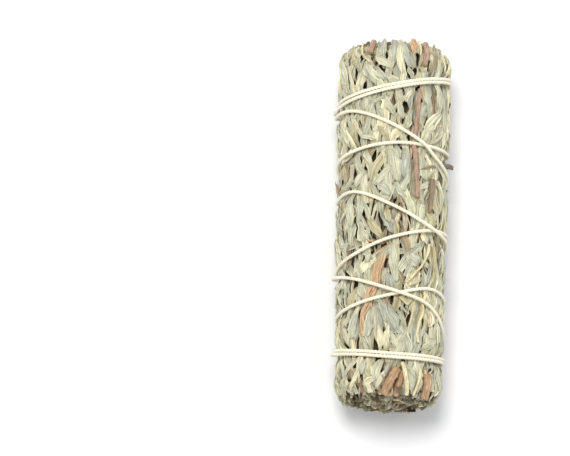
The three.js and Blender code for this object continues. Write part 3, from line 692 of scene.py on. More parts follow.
def lay_shoot(dice, skin, pile):
    """A tuft of small leaves from one place, as at the end of a shoot."""
    arc, along = lowest_place(dice, skin, 5)
    heading = dice.normal(0, 22) * DEGREE + (np.pi if dice.uniform() < 0.6 else 0)
    tone = pick_tone(dice)
    for _ in range(dice.integers(3, 6)):
        length = dice.uniform(5, 10)
        lay_leaf(dice, skin, pile, arc + dice.normal(0, 0.4), along, heading + dice.normal(0, 15) * DEGREE,
                 length, length * dice.uniform(0.15, 0.24), clipped(dice, tone, 0.05),
                 clipped(dice, 0.55, 0.12), dip=0.3)


def lay_named_leaf(dice, skin, pile, base, tip, width, tone, **how):
    """A leaf from one place to another, in degrees and mm along."""
    arc = base[0] * ARC
    da = tip[0] * ARC - arc
    dy = tip[1] - base[1]
    value = clipped(dice, 0.58, 0.12, 0.1, 0.95)
    lay_leaf(dice, skin, pile, arc, base[1], math.atan2(da, dy), math.hypot(da, dy), width,
             TONES[tone] + dice.normal(0, 0.02), value, dip=0.2, gap=0.1, blunt=dice.uniform(0.4, 0.65),
             stiffness=0.75, tip=dice.normal(0, 0.12), past_end=dice.uniform(-0.2, 0.8), **how)


def lay_rows(dice, skin, pile, rows):
    """Leaves placed one by one, from a list."""
    for degrees, along, to_degrees, to_along, width, tone in rows:
        narrower = 0.72 if tone in ("brown", "olive") else 1.0
        lay_named_leaf(dice, skin, pile, (degrees, along), (to_degrees, to_along), width * narrower, tone,
                       bend=dice.normal(0, 0.25))


def lay_top_pieces(dice, skin, pile):
    """The leaves and the bark that show in the photograph."""
    lay_rows(dice, skin, pile, TOP_LEAVES)
    for name, _, tone, width, (base, middle, tip) in LOOSE_LEAVES:
        first, second = (math.atan2((q[0] - p[0]) * ARC, q[1] - p[1])
                         for p, q in ((base, middle), (middle, tip)))
        lay_named_leaf(dice, skin, pile, base, tip, width, tone, bend=2 * (second - first), piece=name)
    for name, route, slivers in BARK:
        for sliver in slivers:
            lay_sliver(dice, skin, pile, name, route, *sliver)


def lay_leaves(dice, leaf_count):
    """The whole pile over the skin."""
    skin, pile = Skin(), Pile()
    for number in range(leaf_count):
        late = number > leaf_count * LATE_SHARE
        lay_random_leaf(dice, skin, pile, LATE_SIZE if late else EARLY_SIZE, 14 if late else 5)
        if number % 14 == 7:
            lay_shoot(dice, skin, pile)
        if number % 3 == 1 and number > leaf_count / 2:
            lay_scrap(dice, skin, pile)
    lay_top_pieces(dice, skin, pile)
    for _ in range(FILLER_COUNT):
        lay_random_leaf(dice, skin, pile, FILLER_SIZE, 45)
    for _ in range(SCRAP_COUNT):
        lay_scrap(dice, skin, pile)
    lay_rows(dice, skin, pile, CLOSING_LEAVES)
    return skin, pile


def press_maps():
    """How deep the string presses at each place, and the loose pieces."""
    string = distance_map(string_route(3000), PRESS_MAP_REACH)
    depth = STRING_SINK + STRING_DIAMETER - PRESS_SLACK
    string.grid = depth * (1 - smoothstep((string.grid - PRESS_FLAT) / PRESS_FADE))
    loose = Skin()
    for _, _, width, _, route in LOOSE_STEMS:
        samples = unrolled(route, 60)
        near = distance_map(samples, PRESS_MAP_REACH).grid
        deep = samples[:, 2].mean() + width / 2
        loose.grid = np.maximum(loose.grid, deep * (1 - smoothstep((near - width / 2) / LOOSE_PRESS_FADE)))
    return string, loose


def in_box(points):
    """Points kept within the model's box and what may stand proud of it."""
    return np.clip(points, np.array(CAD_BOX[0]) + PROUD[0], np.array(CAD_BOX[1]) + PROUD[1])


def settle(points, roof, string, loose):
    """Points on the stick, pressed by what lies on top, and depths in the pile."""
    arc, along, height = points.reshape(-1, 3).T
    depth = roof.read_smooth(arc, along) - height
    depth = np.where(depth < PROUD_DEPTH, PROUD_DEPTH + PROUD_SHARE * (depth - PROUD_DEPTH), depth)
    raised = HOLLOW_DEPTH + HOLLOW_SHARE * (depth - HOLLOW_DEPTH)
    shallow = np.where(depth > HOLLOW_DEPTH, raised, depth)
    share = np.clip(1 - shallow / PRESS_REACH, 0, 1)
    pressed = shallow + share * (string.read_smooth(arc, along) + loose.read_smooth(arc, along))
    angle = arc / NOMINAL_RADIUS
    points = on_stick(angle, along, skin_radius(angle, along) - pressed)
    return in_box(points), depth


def depth_shaded(look, depth):
    """Painted shade: the deeper a leaf lies in the pile, the darker and browner it is painted."""
    look = look.copy()
    shading = smoothstep((depth.reshape(look.shape[:-1]) - HOLLOW_DEPTH) / PAINTED_SHADE_DEPTH)
    look[..., 3] *= 1 - PAINTED_SHADE_STRENGTH * shading
    return look


# Meshes

def linked(name, data):
    """A new object in the scene."""
    thing = bpy.data.objects.new(name, data)
    bpy.context.scene.collection.objects.link(thing)
    return thing


def new_mesh(name, points, quads, look=None, uv=None):
    """A plain mesh object at the origin, from points in metres and quads."""
    mesh = bpy.data.meshes.new(name)
    mesh.vertices.add(len(points))
    mesh.vertices.foreach_set("co", np.asarray(points, np.float32).ravel())
    mesh.loops.add(quads.size)
    mesh.loops.foreach_set("vertex_index", quads.astype(np.int32).ravel())
    mesh.polygons.add(len(quads))
    mesh.polygons.foreach_set("loop_start", np.arange(0, quads.size, 4, dtype=np.int32))
    if uv is not None:
        layer = mesh.uv_layers.new(name="leaf_map")
        layer.data.foreach_set("uv", np.asarray(uv, np.float32)[quads.ravel()].ravel())
    if look is not None:
        made = mesh.attributes.new("look", "FLOAT_COLOR", "POINT")
        made.data.foreach_set("color", np.asarray(look, np.float32).ravel())
    mesh.update(calc_edges=True)
    mesh.validate()
    mesh.polygons.foreach_set("use_smooth", np.ones(len(mesh.polygons), bool))
    mesh.set_sharp_from_angle(angle=SHARP_ANGLE)
    return linked(name, mesh)


def joined(strips):
    """Arrays of several strips as one mesh."""
    start = np.cumsum([0] + [len(p.reshape(-1, 3)) for p, _, _ in strips])
    quads = [strip_faces(look.shape[0] // 2, look.shape[1]) + i for (_, look, _), i in zip(strips, start)]
    points, look, uv = (np.concatenate([s[k].reshape(-1, n) for s in strips])
                        for k, n in enumerate((3, 4, 2)))
    return points, np.concatenate(quads), look, uv


def finished(thing, material, slot, *nodes):
    """Says what a piece is made of, what it rides on and which nodes it stands for."""
    thing.data.materials.clear()
    thing.data.materials.append(material_named(material))
    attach(thing, BODY)
    if nodes:
        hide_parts(*nodes)


# Node trees

class Value:
    """An output of a node. Arithmetic on it adds math nodes to its tree."""

    def __init__(self, made, socket):
        self.made = made
        self.socket = socket

    def __add__(self, other):
        return self.made.math("ADD", self, other)

    def __radd__(self, other):
        return self.made.math("ADD", other, self)

    def __sub__(self, other):
        return self.made.math("SUBTRACT", self, other)

    def __rsub__(self, other):
        return self.made.math("SUBTRACT", other, self)

    def __mul__(self, other):
        return self.made.math("MULTIPLY", self, other)

    def __truediv__(self, other):
        return self.made.math("DIVIDE", self, other)

    def __abs__(self):
        return self.made.math("ABSOLUTE", self)


class Tree:
    """Adds and links nodes in few words."""

    def __init__(self, tree):
        self.tree = tree

    def plug(self, socket, value):
        """Links an output, or a node's first one, to a socket, or sets the socket to a plain value."""
        if isinstance(value, bpy.types.Node):
            value = next(s for s in value.outputs if s.enabled)
        if isinstance(value, Value):
            value = value.socket
        if isinstance(value, bpy.types.NodeSocket):
            self.tree.links.new(value, socket)
        else:
            socket.default_value = value

    def plug_all(self, sockets, values):
        for socket, value in zip(sockets, values):
            self.plug(socket, value)

    def node(self, kind, props=None, **inputs):
        """A new node with its properties, and its inputs by name."""
        node = self.tree.nodes.new(kind)
        for key, value in (props or {}).items():
            setattr(node, key, value)
        for key, value in inputs.items():
            self.plug(node.inputs[key.replace("_", " ")], value)
        return node

    def value(self, kind, output=0, props=None, **inputs):
        """One output of a new node."""
        return Value(self, self.node(kind, props, **inputs).outputs[output])

    def math(self, operation, *values):
        node = self.node("ShaderNodeMath", {"operation": operation})
        self.plug_all(node.inputs, values)
        return Value(self, node.outputs[0])

    def vector(self, operation, *values):
        node = self.node("ShaderNodeVectorMath", {"operation": operation})
        sockets = [node.inputs[0], node.inputs["Scale" if operation == "SCALE" else 1]]
        self.plug_all(sockets, values)
        return Value(self, node.outputs["Value" if operation == "DOT_PRODUCT" else "Vector"])

    def point(self, *values):
        """A vector of up to three numbers."""
        node = self.node("ShaderNodeCombineXYZ")
        self.plug_all(node.inputs, values)
        return Value(self, node.outputs[0])

    def split(self, vector):
        """The three numbers of a vector."""
        return [Value(self, s) for s in self.node("ShaderNodeSeparateXYZ", Vector=vector).outputs]

    def wheel(self, angle, radius):
        """Two coordinates that close round a tube."""
        return [self.math(operation, angle) * radius for operation in ("COSINE", "SINE")]


def srgb(red, green, blue):
    """A colour picked on screen, 0 to 255, as linear red, green, blue, alpha."""
    linear = [c / 255 / 12.92 if c <= 10 else ((c / 255 + 0.055) / 1.055) ** 2.4 for c in (red, green, blue)]
    return (*linear, 1.0)


def ramp(made, factor, stops):
    """A colour ramp of (place, colour) stops."""
    node = made.node("ShaderNodeValToRGB", Fac=factor)
    elements = node.color_ramp.elements
    while len(elements) < len(stops):
        elements.new(0.5)
    for element, (place, colour) in zip(elements, stops):
        element.position = place
        element.color = srgb(*colour)
    return node


def mixed(made, factor, one, other, blend="MIX"):
    node = made.node("ShaderNodeMix", {"data_type": "RGBA", "blend_type": blend, "clamp_factor": True})
    made.plug_all([node.inputs[0], *node.inputs[6:8]], (factor, one, other))
    return node.outputs[2]


def noise(made, vector, scale, detail=3.0, rough=0.55):
    return made.value("ShaderNodeTexNoise", "Fac", Vector=vector, Scale=scale, Detail=detail, Roughness=rough)


def brightened(made, colour, factor):
    """A colour times a grey factor."""
    grey = made.node("ShaderNodeCombineColor")
    made.plug_all(grey.inputs, [factor] * 3)
    return mixed(made, 1.0, colour, grey, "MULTIPLY")


def weighted(base, shares, parts):
    """A number plus each part times its share."""
    for name, share in shares.items():
        base = parts[name] * share + base
    return base


# Materials: colours as picked on screen, texture scales a metre, and the depth of a relief in metres

LEAF_TONES = [
    (0.0, (178, 180, 164)), (0.14, (193, 194, 173)), (0.3, (206, 205, 176)), (0.45, (218, 214, 184)),
    (0.6, (242, 233, 196)), (0.8, (196, 187, 148)), (1.0, (168, 146, 116)),
]
LEAF_SPECK = (122, 98, 62)
# The warm brown tint of the painted shade, where a strip's shade is low
PAINTED_SHADE_TINT = (0.95, 0.72, 0.5, 1.0)
# What each mark on a leaf adds to its lightness, from a base, and to its relief. The margin's lightness is a
# painted highlight along the rolled edges, and the creases' lightness leaves thin lines of painted shade.
LEAF_LIGHT_BASE = 0.71
LEAF_LIGHT = {"value": 0.4, "creases": 0.28, "streaks": 1.6, "felt": 0.42, "margin": 0.27, "rib": 0.1}
LEAF_RELIEF = {"streaks": 0.7, "felt": 0.4, "veins": 0.6, "rib": 0.35, "creases": 0.4}
BARK_TONES = [
    (0.36, (158, 120, 90)), (0.48, (210, 172, 134)), (0.58, (228, 196, 157)), (0.72, (244, 232, 202)),
]
BARK_PATCH = (200, 150, 112)
COTTON = (255, 249, 229)
COTTON_PATCH = (252, 241, 212)
# Skin, flecks and cut end of each kind of stem, and how deep its grooves look
STEM_COLOURS = {
    "dry_straw_stem": ((236, 226, 184), (206, 188, 138), (240, 230, 190), 0.5),
    "dry_brown_stem": ((182, 150, 129), (208, 184, 160), (212, 186, 142), 0.9),
    "dry_grey_stem": ((130, 122, 104), (160, 148, 126), (190, 176, 148), 0.9),
    "dry_dull_stem": ((154, 134, 112), (184, 162, 136), (206, 184, 144), 0.9),
    "dry_ruddy_stem": ((187, 150, 116), (214, 190, 155), (236, 208, 164), 0.9),
}
MATT = {"Roughness": 0.8, "Specular_IOR_Level": 0.3}
LEAF_SURFACE = {"Roughness": 0.88, "Specular_IOR_Level": 0.25, "Sheen_Weight": 0.18, "Sheen_Roughness": 0.5}
COTTON_SURFACE = {"Roughness": 0.85, "Specular_IOR_Level": 0.3, "Sheen_Weight": 0.35, "Sheen_Roughness": 0.4}
OWN_PATTERN = 40.0  # how far apart in the noise two strips lie, so that each has a pattern of its own


def new_material(name):
    """The empty node tree of a new material."""
    material = bpy.data.materials.new(name)
    material.use_nodes = True
    material.node_tree.nodes.clear()
    return Tree(material.node_tree)


def close_material(made, colour, surface, relief=None, strength=1.0, distance=1.0):
    """Gives a material its colour, its surface and its relief."""
    shader = made.node("ShaderNodeBsdfPrincipled", Base_Color=colour, **surface)
    made.node("ShaderNodeOutputMaterial", Surface=shader)
    if relief:
        bump = made.node("ShaderNodeBump", Strength=strength, Distance=distance, Height=relief)
        made.plug(shader.inputs["Normal"], bump)


def object_place(made):
    return made.value("ShaderNodeTexCoord", "Object")


def attribute(made, name, output="Fac"):
    return made.value("ShaderNodeAttribute", output, {"attribute_name": name})


def strip_marks(made):
    """A strip's own tone, lightness, number and shade, and the place across and along it."""
    parts = made.node("ShaderNodeSeparateColor", Color=attribute(made, "look", "Color")).outputs
    tone, value, seed = (Value(made, s) for s in parts[:3])
    across, along, _ = made.split(made.node("ShaderNodeUVMap", {"uv_map": "leaf_map"}))
    return tone, value, seed, attribute(made, "look", "Alpha"), across, along


def tube_place(made, scale_round, scale_along, twist=0.0):
    """The place on the skin of a stem or a ply."""
    along = attribute(made, "stem_along")
    angle = attribute(made, "stem_round") * TURN + along * twist
    return made.point(*made.wheel(angle, scale_round), along * scale_along)


def leaf_material():
    """Matt, felted leaf: one tone each, with streaks, creases darkened by painted shade along thin lines, a
    painted highlight along its rolled margins, a paler midrib, net veins, brown marks and the painted shade that
    its look carries.
    """
    made = new_material("dried_sage_leaf")
    coords = object_place(made)
    tone, value, seed, shade, across, along = strip_marks(made)
    pattern = seed * OWN_PATTERN
    creases = noise(made, made.point(across * 4.0, along * 1.3, pattern + 7.0), 1.0, 2.0, 0.5)
    rib = abs(across - 0.5)
    parts = {
        "value": value,
        # painted shade: thin dark lines along the creases
        "creases": made.math("MINIMUM", abs(creases - 0.5) * 16.0, 1.0),
        "streaks": noise(made, made.point(across * 11.0, along * 1.6, pattern), 1.0, 3.0, 0.6) - 0.5,
        "felt": noise(made, coords, 5200.0, 2.0, 0.7) - 0.5,
        # painted highlight along the rolled margins
        "margin": made.value("ShaderNodeMapRange", 0, {"interpolation_type": "SMOOTHSTEP"}, Value=rib,
                             From_Min=0.34, From_Max=0.5),
        "rib": 1.0 - made.math("SMOOTH_MIN", rib * 14.0, 1.0, 0.3),
        "veins": made.math("MINIMUM", made.value("ShaderNodeTexVoronoi", 0, {"feature": "DISTANCE_TO_EDGE"},
                                                 Vector=coords, Scale=1900.0), 0.25),
    }
    drift = (noise(made, coords, 420.0, 2.0) - 0.5) * 0.16
    light = weighted(LEAF_LIGHT_BASE, LEAF_LIGHT, parts)
    # Painted shade: the look's shade darkens the colour, and where it is low also tints it warm brown
    colour = brightened(made, ramp(made, tone + drift, LEAF_TONES), light * shade)
    colour = mixed(made, 1.0 - shade, colour, PAINTED_SHADE_TINT, "MULTIPLY")
    specks = (noise(made, coords, 900.0, 2.0, 0.6) - 0.67) * 9.0
    specks = made.math("MINIMUM", made.math("MAXIMUM", specks, 0.0), 1.0)
    colour = mixed(made, specks * 0.55, colour, srgb(*LEAF_SPECK))
    close_material(made, colour, LEAF_SURFACE, weighted(0.0, LEAF_RELIEF, parts), 0.9, 0.00042)


def bark_material():
    """Fibrous orange bark: pale fibres along each sliver, its grooves painted dark as shade, and the painted
    shade that its look carries.
    """
    made = new_material("peeled_bark")
    coords = object_place(made)
    _, value, seed, shade, across, along = strip_marks(made)
    grain = noise(made, made.point(across * 5.0, along * 2.2, seed * OWN_PATTERN), 1.0, 4.0, 0.65)
    patches = (noise(made, coords, 700.0) - 0.5) * 1.6
    fine = noise(made, coords, 4500.0, 2.0, 0.7)
    # The colour follows the grain that is also the relief, so the grooves are painted darker as shade
    colour = mixed(made, patches, ramp(made, grain, BARK_TONES), srgb(*BARK_PATCH))
    light = value * 0.35 + 0.84 + (fine - 0.5) * 0.3
    close_material(made, brightened(made, colour, light * shade), MATT, grain + fine * 0.3, 0.7, 0.00025)


def stem_material(name, skin, fleck, cut, groove):
    """Dry stem: grooved along its length, its grooves painted darker as shade, flecked, with a pale cut end."""
    made = new_material(name)
    coords = object_place(made)
    grain = noise(made, tube_place(made, 1.3, 300.0), 1.6, 4.0, 0.65)
    flecks = (noise(made, coords, 500.0) - 0.5) * 3.0
    fine = noise(made, coords, 4200.0, 2.0, 0.7)
    # Painted shade: the colour is darker where the grain, which is also the relief, is low, in the grooves
    light = made.math("MAXIMUM", grain * 2.3 - 0.2 + (fine - 0.5) * 0.5, 0.35)
    colour = brightened(made, mixed(made, flecks, skin, fleck), light)
    pith = brightened(made, cut, fine * 0.5 + 0.75)
    colour = mixed(made, attribute(made, "cut_end"), colour, pith)
    close_material(made, colour, MATT, grain + fine * 0.3, groove, 0.00025)


def cotton_material():
    """Undyed cotton yarn: fibres along each ply, and slightly darker patches."""
    made = new_material("cotton_string")
    fibres = noise(made, tube_place(made, 3.0, 900.0, 2600.0), 1.4, 3.0, 0.6)
    patches = (noise(made, object_place(made), 300.0, 2.0) - 0.35) * 2.0
    colour = mixed(made, patches, srgb(*COTTON), srgb(*COTTON_PATCH))
    close_material(made, brightened(made, colour, fibres * 0.3 + 0.84), COTTON_SURFACE, fibres, 0.4, 0.00015)


def material_named(name):
    """One of the materials, which are made the first time."""
    if name not in bpy.data.materials:
        leaf_material()
        bark_material()
        cotton_material()
        for stem, (*colours, groove) in STEM_COLOURS.items():
            stem_material(stem, *(srgb(*c) for c in colours), groove)
    return bpy.data.materials[name]


# Geometry node trees

def tree_with(name, inputs):
    """A geometry node tree with named inputs, and what they give."""
    tree = bpy.data.node_groups.new(name, "GeometryNodeTree")
    for way in ("INPUT", "OUTPUT"):
        tree.interface.new_socket("Geometry", in_out=way, socket_type="NodeSocketGeometry")
    for label, value in inputs.items():
        kind = "Int" if isinstance(value, int) else "Float"
        socket = tree.interface.new_socket(label, in_out="INPUT", socket_type="NodeSocket" + kind)
        socket.default_value = value
    tree.interface.new_socket("Material", in_out="INPUT", socket_type="NodeSocketMaterial")
    made = Tree(tree)
    return made, made.node("NodeGroupInput").outputs


def close_tree(made, geometry, given):
    """Every tree ends in Realize Instances and Set Material."""
    smooth = made.node("GeometryNodeSetShadeSmooth", Geometry=geometry)
    real = made.node("GeometryNodeRealizeInstances", Geometry=smooth)
    paint = made.node("GeometryNodeSetMaterial", Geometry=real, Material=given["Material"])
    made.node("NodeGroupOutput", Geometry=paint)
    return made.tree


def stored(made, geometry, name, value, kind="FLOAT", domain="POINT"):
    return made.node("GeometryNodeStoreNamedAttribute", {"data_type": kind, "domain": domain},
                     Geometry=geometry, Name=name, Value=value)


def recalled(made, name, kind="FLOAT"):
    return made.value("GeometryNodeInputNamedAttribute", 0, {"data_type": kind}, Name=name)


def tube_nodes(made, curve, sides):
    """Curve to tube with its own place stored round and along it, and its cut ends marked."""
    curve = stored(made, curve, "stem_along", made.value("GeometryNodeSplineParameter", "Length"))
    curve = stored(made, curve, "stem_heading", made.node("GeometryNodeInputTangent"), "FLOAT_VECTOR")
    ring = made.node("GeometryNodeCurvePrimitiveCircle", Resolution=sides, Radius=1.0)
    ring = stored(made, ring, "stem_round", made.value("GeometryNodeSplineParameter", "Factor"))
    tube = made.node("GeometryNodeCurveToMesh", Curve=curve, Profile_Curve=ring,
                     Scale=made.node("GeometryNodeInputRadius"), Fill_Caps=True)
    heading = recalled(made, "stem_heading", "FLOAT_VECTOR")
    facing = made.vector("DOT_PRODUCT", heading, made.node("GeometryNodeInputNormal"))
    is_end = made.math("GREATER_THAN", abs(facing), 0.8)
    return stored(made, tube, "cut_end", is_end, domain="FACE")


def string_tree(name):
    """Twists plies round the string's route."""
    made, given = tree_with(name, {
        "Plies": 3, "Ply Radius": 0.0002, "Ply Offset": 0.0002, "Lay Length": 0.003, "Step": 0.0003,
        "Axis Height": 0.0153, "Sides": 7,
    })
    even = made.node("GeometryNodeResampleCurve", {"mode": "LENGTH"}, Curve=given["Geometry"],
                     Length=given["Step"])
    copies = made.node("GeometryNodeDuplicateElements", {"domain": "SPLINE"}, Geometry=even,
                       Amount=given["Plies"])
    position = made.value("GeometryNodeInputPosition")
    tangent = made.value("GeometryNodeInputTangent")
    x, _, z = made.split(position)
    outward = made.point(x, 0.0, z - given["Axis Height"])
    beside = made.vector("NORMALIZE", made.vector("CROSS_PRODUCT", tangent, outward))
    above = made.vector("CROSS_PRODUCT", beside, tangent)
    length = made.value("GeometryNodeSplineParameter", "Length")
    turn = length / given["Lay Length"] + Value(made, copies.outputs["Duplicate Index"]) / given["Plies"]
    up, side = made.wheel(turn * TURN, given["Ply Offset"])
    offset = made.vector("ADD", made.vector("SCALE", above, up), made.vector("SCALE", beside, side))
    moved = made.node("GeometryNodeSetPosition", Geometry=copies, Offset=offset)
    uneven = noise(made, made.vector("SCALE", position, 900.0), 1.0, 2.0)
    thick = made.node("GeometryNodeSetCurveRadius", Curve=moved,
                      Radius=(uneven * 0.22 + 0.9) * given["Ply Radius"])
    return close_tree(made, tube_nodes(made, thick, given["Sides"]), given)


def random_value(made, kind, low, high, seed):
    """A random number or vector. The node's sockets go by place, as all kinds have the same names."""
    node = made.node("FunctionNodeRandomValue", {"data_type": kind}, Seed=seed)
    first, output = (0, 0) if kind == "FLOAT_VECTOR" else (2, 1)
    made.plug_all(node.inputs[first:first + 2], (low, high))
    return node.outputs[output]


def fibre_tree(name):
    """Stands short loose fibres on the string."""
    made, given = tree_with(name, {"Spacing": 0.0006, "Fibre Length": 0.0011, "Fibre Radius": 0.000012,
                                   "Seed": 3})
    seed = Value(made, given["Seed"])
    points = made.node("GeometryNodeCurveToPoints", {"mode": "LENGTH"}, Curve=given["Geometry"],
                       Length=given["Spacing"])
    fibre = made.node("GeometryNodeCurvePrimitiveBezierSegment", {"mode": "POSITION"}, Resolution=4,
                      Start=(0.0, 0.0, 0.0), Start_Handle=(0.0, 0.0, 0.4), End_Handle=(0.35, 0.1, 0.8),
                      End=(0.75, 0.25, 0.75))
    size = made.math("MULTIPLY", given["Fibre Length"], random_value(made, "FLOAT", 0.6, 1.1, seed + 2.0))
    placed = made.node("GeometryNodeInstanceOnPoints", Points=points, Instance=fibre, Scale=size,
                       Rotation=random_value(made, "FLOAT_VECTOR", (0.0,) * 3, (TURN,) * 3, seed + 1.0))
    real = made.node("GeometryNodeRealizeInstances", Geometry=placed)
    thin = made.node("GeometryNodeSetCurveRadius", Curve=real, Radius=given["Fibre Radius"])
    return close_tree(made, tube_nodes(made, thin, 3), given)


def stem_tree(name):
    """Makes grooved stems along their routes."""
    made, given = tree_with(name, {"Step": 0.0008, "Sides": 10, "Groove Depth": 0.00012, "Groove Scale": 2.0,
                                   "Seed": 1.0})
    even = made.node("GeometryNodeResampleCurve", {"mode": "LENGTH"}, Curve=given["Geometry"],
                     Length=given["Step"])
    tube = tube_nodes(made, even, given["Sides"])
    around = made.wheel(recalled(made, "stem_round") * TURN, 1.0)
    place = made.point(*around, recalled(made, "stem_along") * 90.0 + given["Seed"])
    depth = (noise(made, place, given["Groove Scale"]) - 0.6) * given["Groove Depth"]
    offset = made.vector("SCALE", made.value("GeometryNodeInputNormal"), depth)
    moved = made.node("GeometryNodeSetPosition", Geometry=tube, Offset=offset)
    return close_tree(made, moved, given)


def kept_inside(mesh):
    """Trims a mesh to the model's box."""
    points = np.empty(3 * len(mesh.vertices), np.float32)
    mesh.vertices.foreach_get("co", points)
    points = in_box(points.reshape(-1, 3))
    mesh.vertices.foreach_set("co", points.astype(np.float32).ravel())
    mesh.update()


TREES = {"Twisted String": string_tree, "String Fibres": fibre_tree, "Dry Stems": stem_tree}


def grown(name, routes, kind, material, **sizes):
    """A plain mesh from curves through (points, radii) in metres, run through a geometry node tree."""
    tree = bpy.data.node_groups.get(kind) or TREES[kind](kind)
    settings = {key.replace("_", " "): value for key, value in sizes.items()}
    settings["Material"] = material_named(material)
    curve = bpy.data.curves.new(name + "_route", "CURVE")
    curve.dimensions = "3D"
    for points, radii in routes:
        spline = curve.splines.new("POLY")
        spline.points.add(len(points) - 1)
        spline.points.foreach_set("co", np.column_stack([points, np.ones(len(points))]).ravel())
        spline.points.foreach_set("radius", np.broadcast_to(radii, len(points)).astype(float))
    source = linked(name + "_source", curve)
    modifier = source.modifiers.new("grow", "NODES")
    modifier.node_group = tree
    for item in tree.interface.items_tree:
        if item.in_out == "INPUT" and item.name in settings:
            modifier[item.identifier] = settings[item.name]
    bpy.context.view_layer.update()
    evaluated = source.evaluated_get(bpy.context.evaluated_depsgraph_get())
    mesh = bpy.data.meshes.new_from_object(evaluated)
    bpy.data.objects.remove(source)
    bpy.data.curves.remove(curve)
    mesh.name = name
    kept_inside(mesh)
    return linked(name, mesh)


# Operators

class SageSizes(bpy.types.PropertyGroup):
    """Sizes and colours that a user would change."""

    string_diameter: bpy.props.FloatProperty(
        name="String diameter", description="Thickness of the cotton string", default=STRING_DIAMETER * MM,
        unit="LENGTH", precision=5)
    string_plies: bpy.props.IntProperty(
        name="Plies", description="Plies twisted into the string", default=3, min=2, max=6)
    leaf_count: bpy.props.IntProperty(
        name="Leaves", description="Leaves laid over the outside", default=1250, min=100, max=3000)
    floor_colour: bpy.props.FloatVectorProperty(
        name="Floor", description="Colour of the floor", default=(0.93, 0.93, 0.945), subtype="COLOR", size=3)


class SAGE_OT_lay_sprigs(bpy.types.Operator):
    """Lay the leaves of the outer sprigs over one another"""

    bl_idname = "sage.lay_sprigs"
    bl_label = "Lay the outer sprigs"

    def execute(self, context):
        sizes = context.scene.sage_sizes
        dice = np.random.default_rng(SEED)
        skin, pile = lay_leaves(dice, sizes.leaf_count)
        roof = skin.grown(ROOF_GROWTH).blurred(ROOF_BLUR)
        string, loose = press_maps()
        slots = {name: slot for name, slot, *_ in LOOSE_LEAVES}
        for piece, laid in sorted(pile.strips.items()):
            strips = []
            for points, look, uv in laid:
                points, depth = settle(points, roof, string, loose)
                strips.append((points, depth_shaded(look, depth), uv))
            bark = any(piece == name for name, *_ in BARK)
            thing = new_mesh(piece + "_shape", *joined(strips))
            material = "peeled_bark" if bark else "dried_sage_leaf"
            slot = "bark" if bark else slots.get(piece, "leaf")
            finished(thing, material, slot, piece.replace("outer_sprig", "sprig_outer"))
        return {"FINISHED"}


class SAGE_OT_pack_inside(bpy.types.Operator):
    """Pack the leaves and stems of the inner and core sprigs, which show at the two ends"""

    bl_idname = "sage.pack_inside"
    bl_label = "Pack the inner sprigs"

    def execute(self, context):
        dice = np.random.default_rng(SEED + 1)
        cells = {}
        stems = {}
        radius = RING_FIRST
        for degrees, from_axis, thick, kind in FACE_STEMS:
            angle = degrees * DEGREE
            stems.setdefault((home_cell(angle, from_axis), kind), []).append(
                inner_stem(dice, angle, from_axis, thick, 0.0))
        while radius < RING_LAST:
            count = max(int(TURN * radius / STRIP_GAP), 3)
            first = dice.uniform(0, TURN)
            for k in range(count):
                angle = (first + TURN * (k + dice.uniform(-0.25, 0.25)) / count) % TURN
                r = radius + dice.uniform(-0.3, 0.3)
                cell = home_cell(angle, r)
                if dice.uniform() < STEM_SHARE:
                    kind = "straw_stem" if dice.uniform() < 0.65 else "brown_stem"
                    stems.setdefault((cell, kind), []).append(
                        inner_stem(dice, angle, min(r, MOST_STEM_RADIUS), dice.uniform(0.3, 0.85), 2.4))
                else:
                    cells.setdefault(cell, []).append(inner_strip(dice, angle, r))
            radius += RING_GAP
        for cell, strips in sorted(cells.items()):
            thing = new_mesh(cell.replace("sprig_", "") + "_leaves", *joined(strips))
            finished(thing, "dried_sage_leaf", "leaf", *([] if "outer" in cell else [cell]))
        for (cell, kind), routes in sorted(stems.items()):
            thing = grown(f"{cell.replace('sprig_', '')}_{kind}s", routes, "Dry Stems", "dry_" + kind,
                          Step=0.004, Sides=8, Groove_Depth=0.00015, Groove_Scale=2.0)
            finished(thing, "dry_" + kind, kind)
        return {"FINISHED"}


def home_cell(angle, radius):
    """The CAD sprig in whose wedge a place lies."""
    name, count, _ = next(ring for ring in RINGS if radius >= ring[2])
    return f"sprig_{name}_{int(angle / TURN * count) % count + 1:02d}"


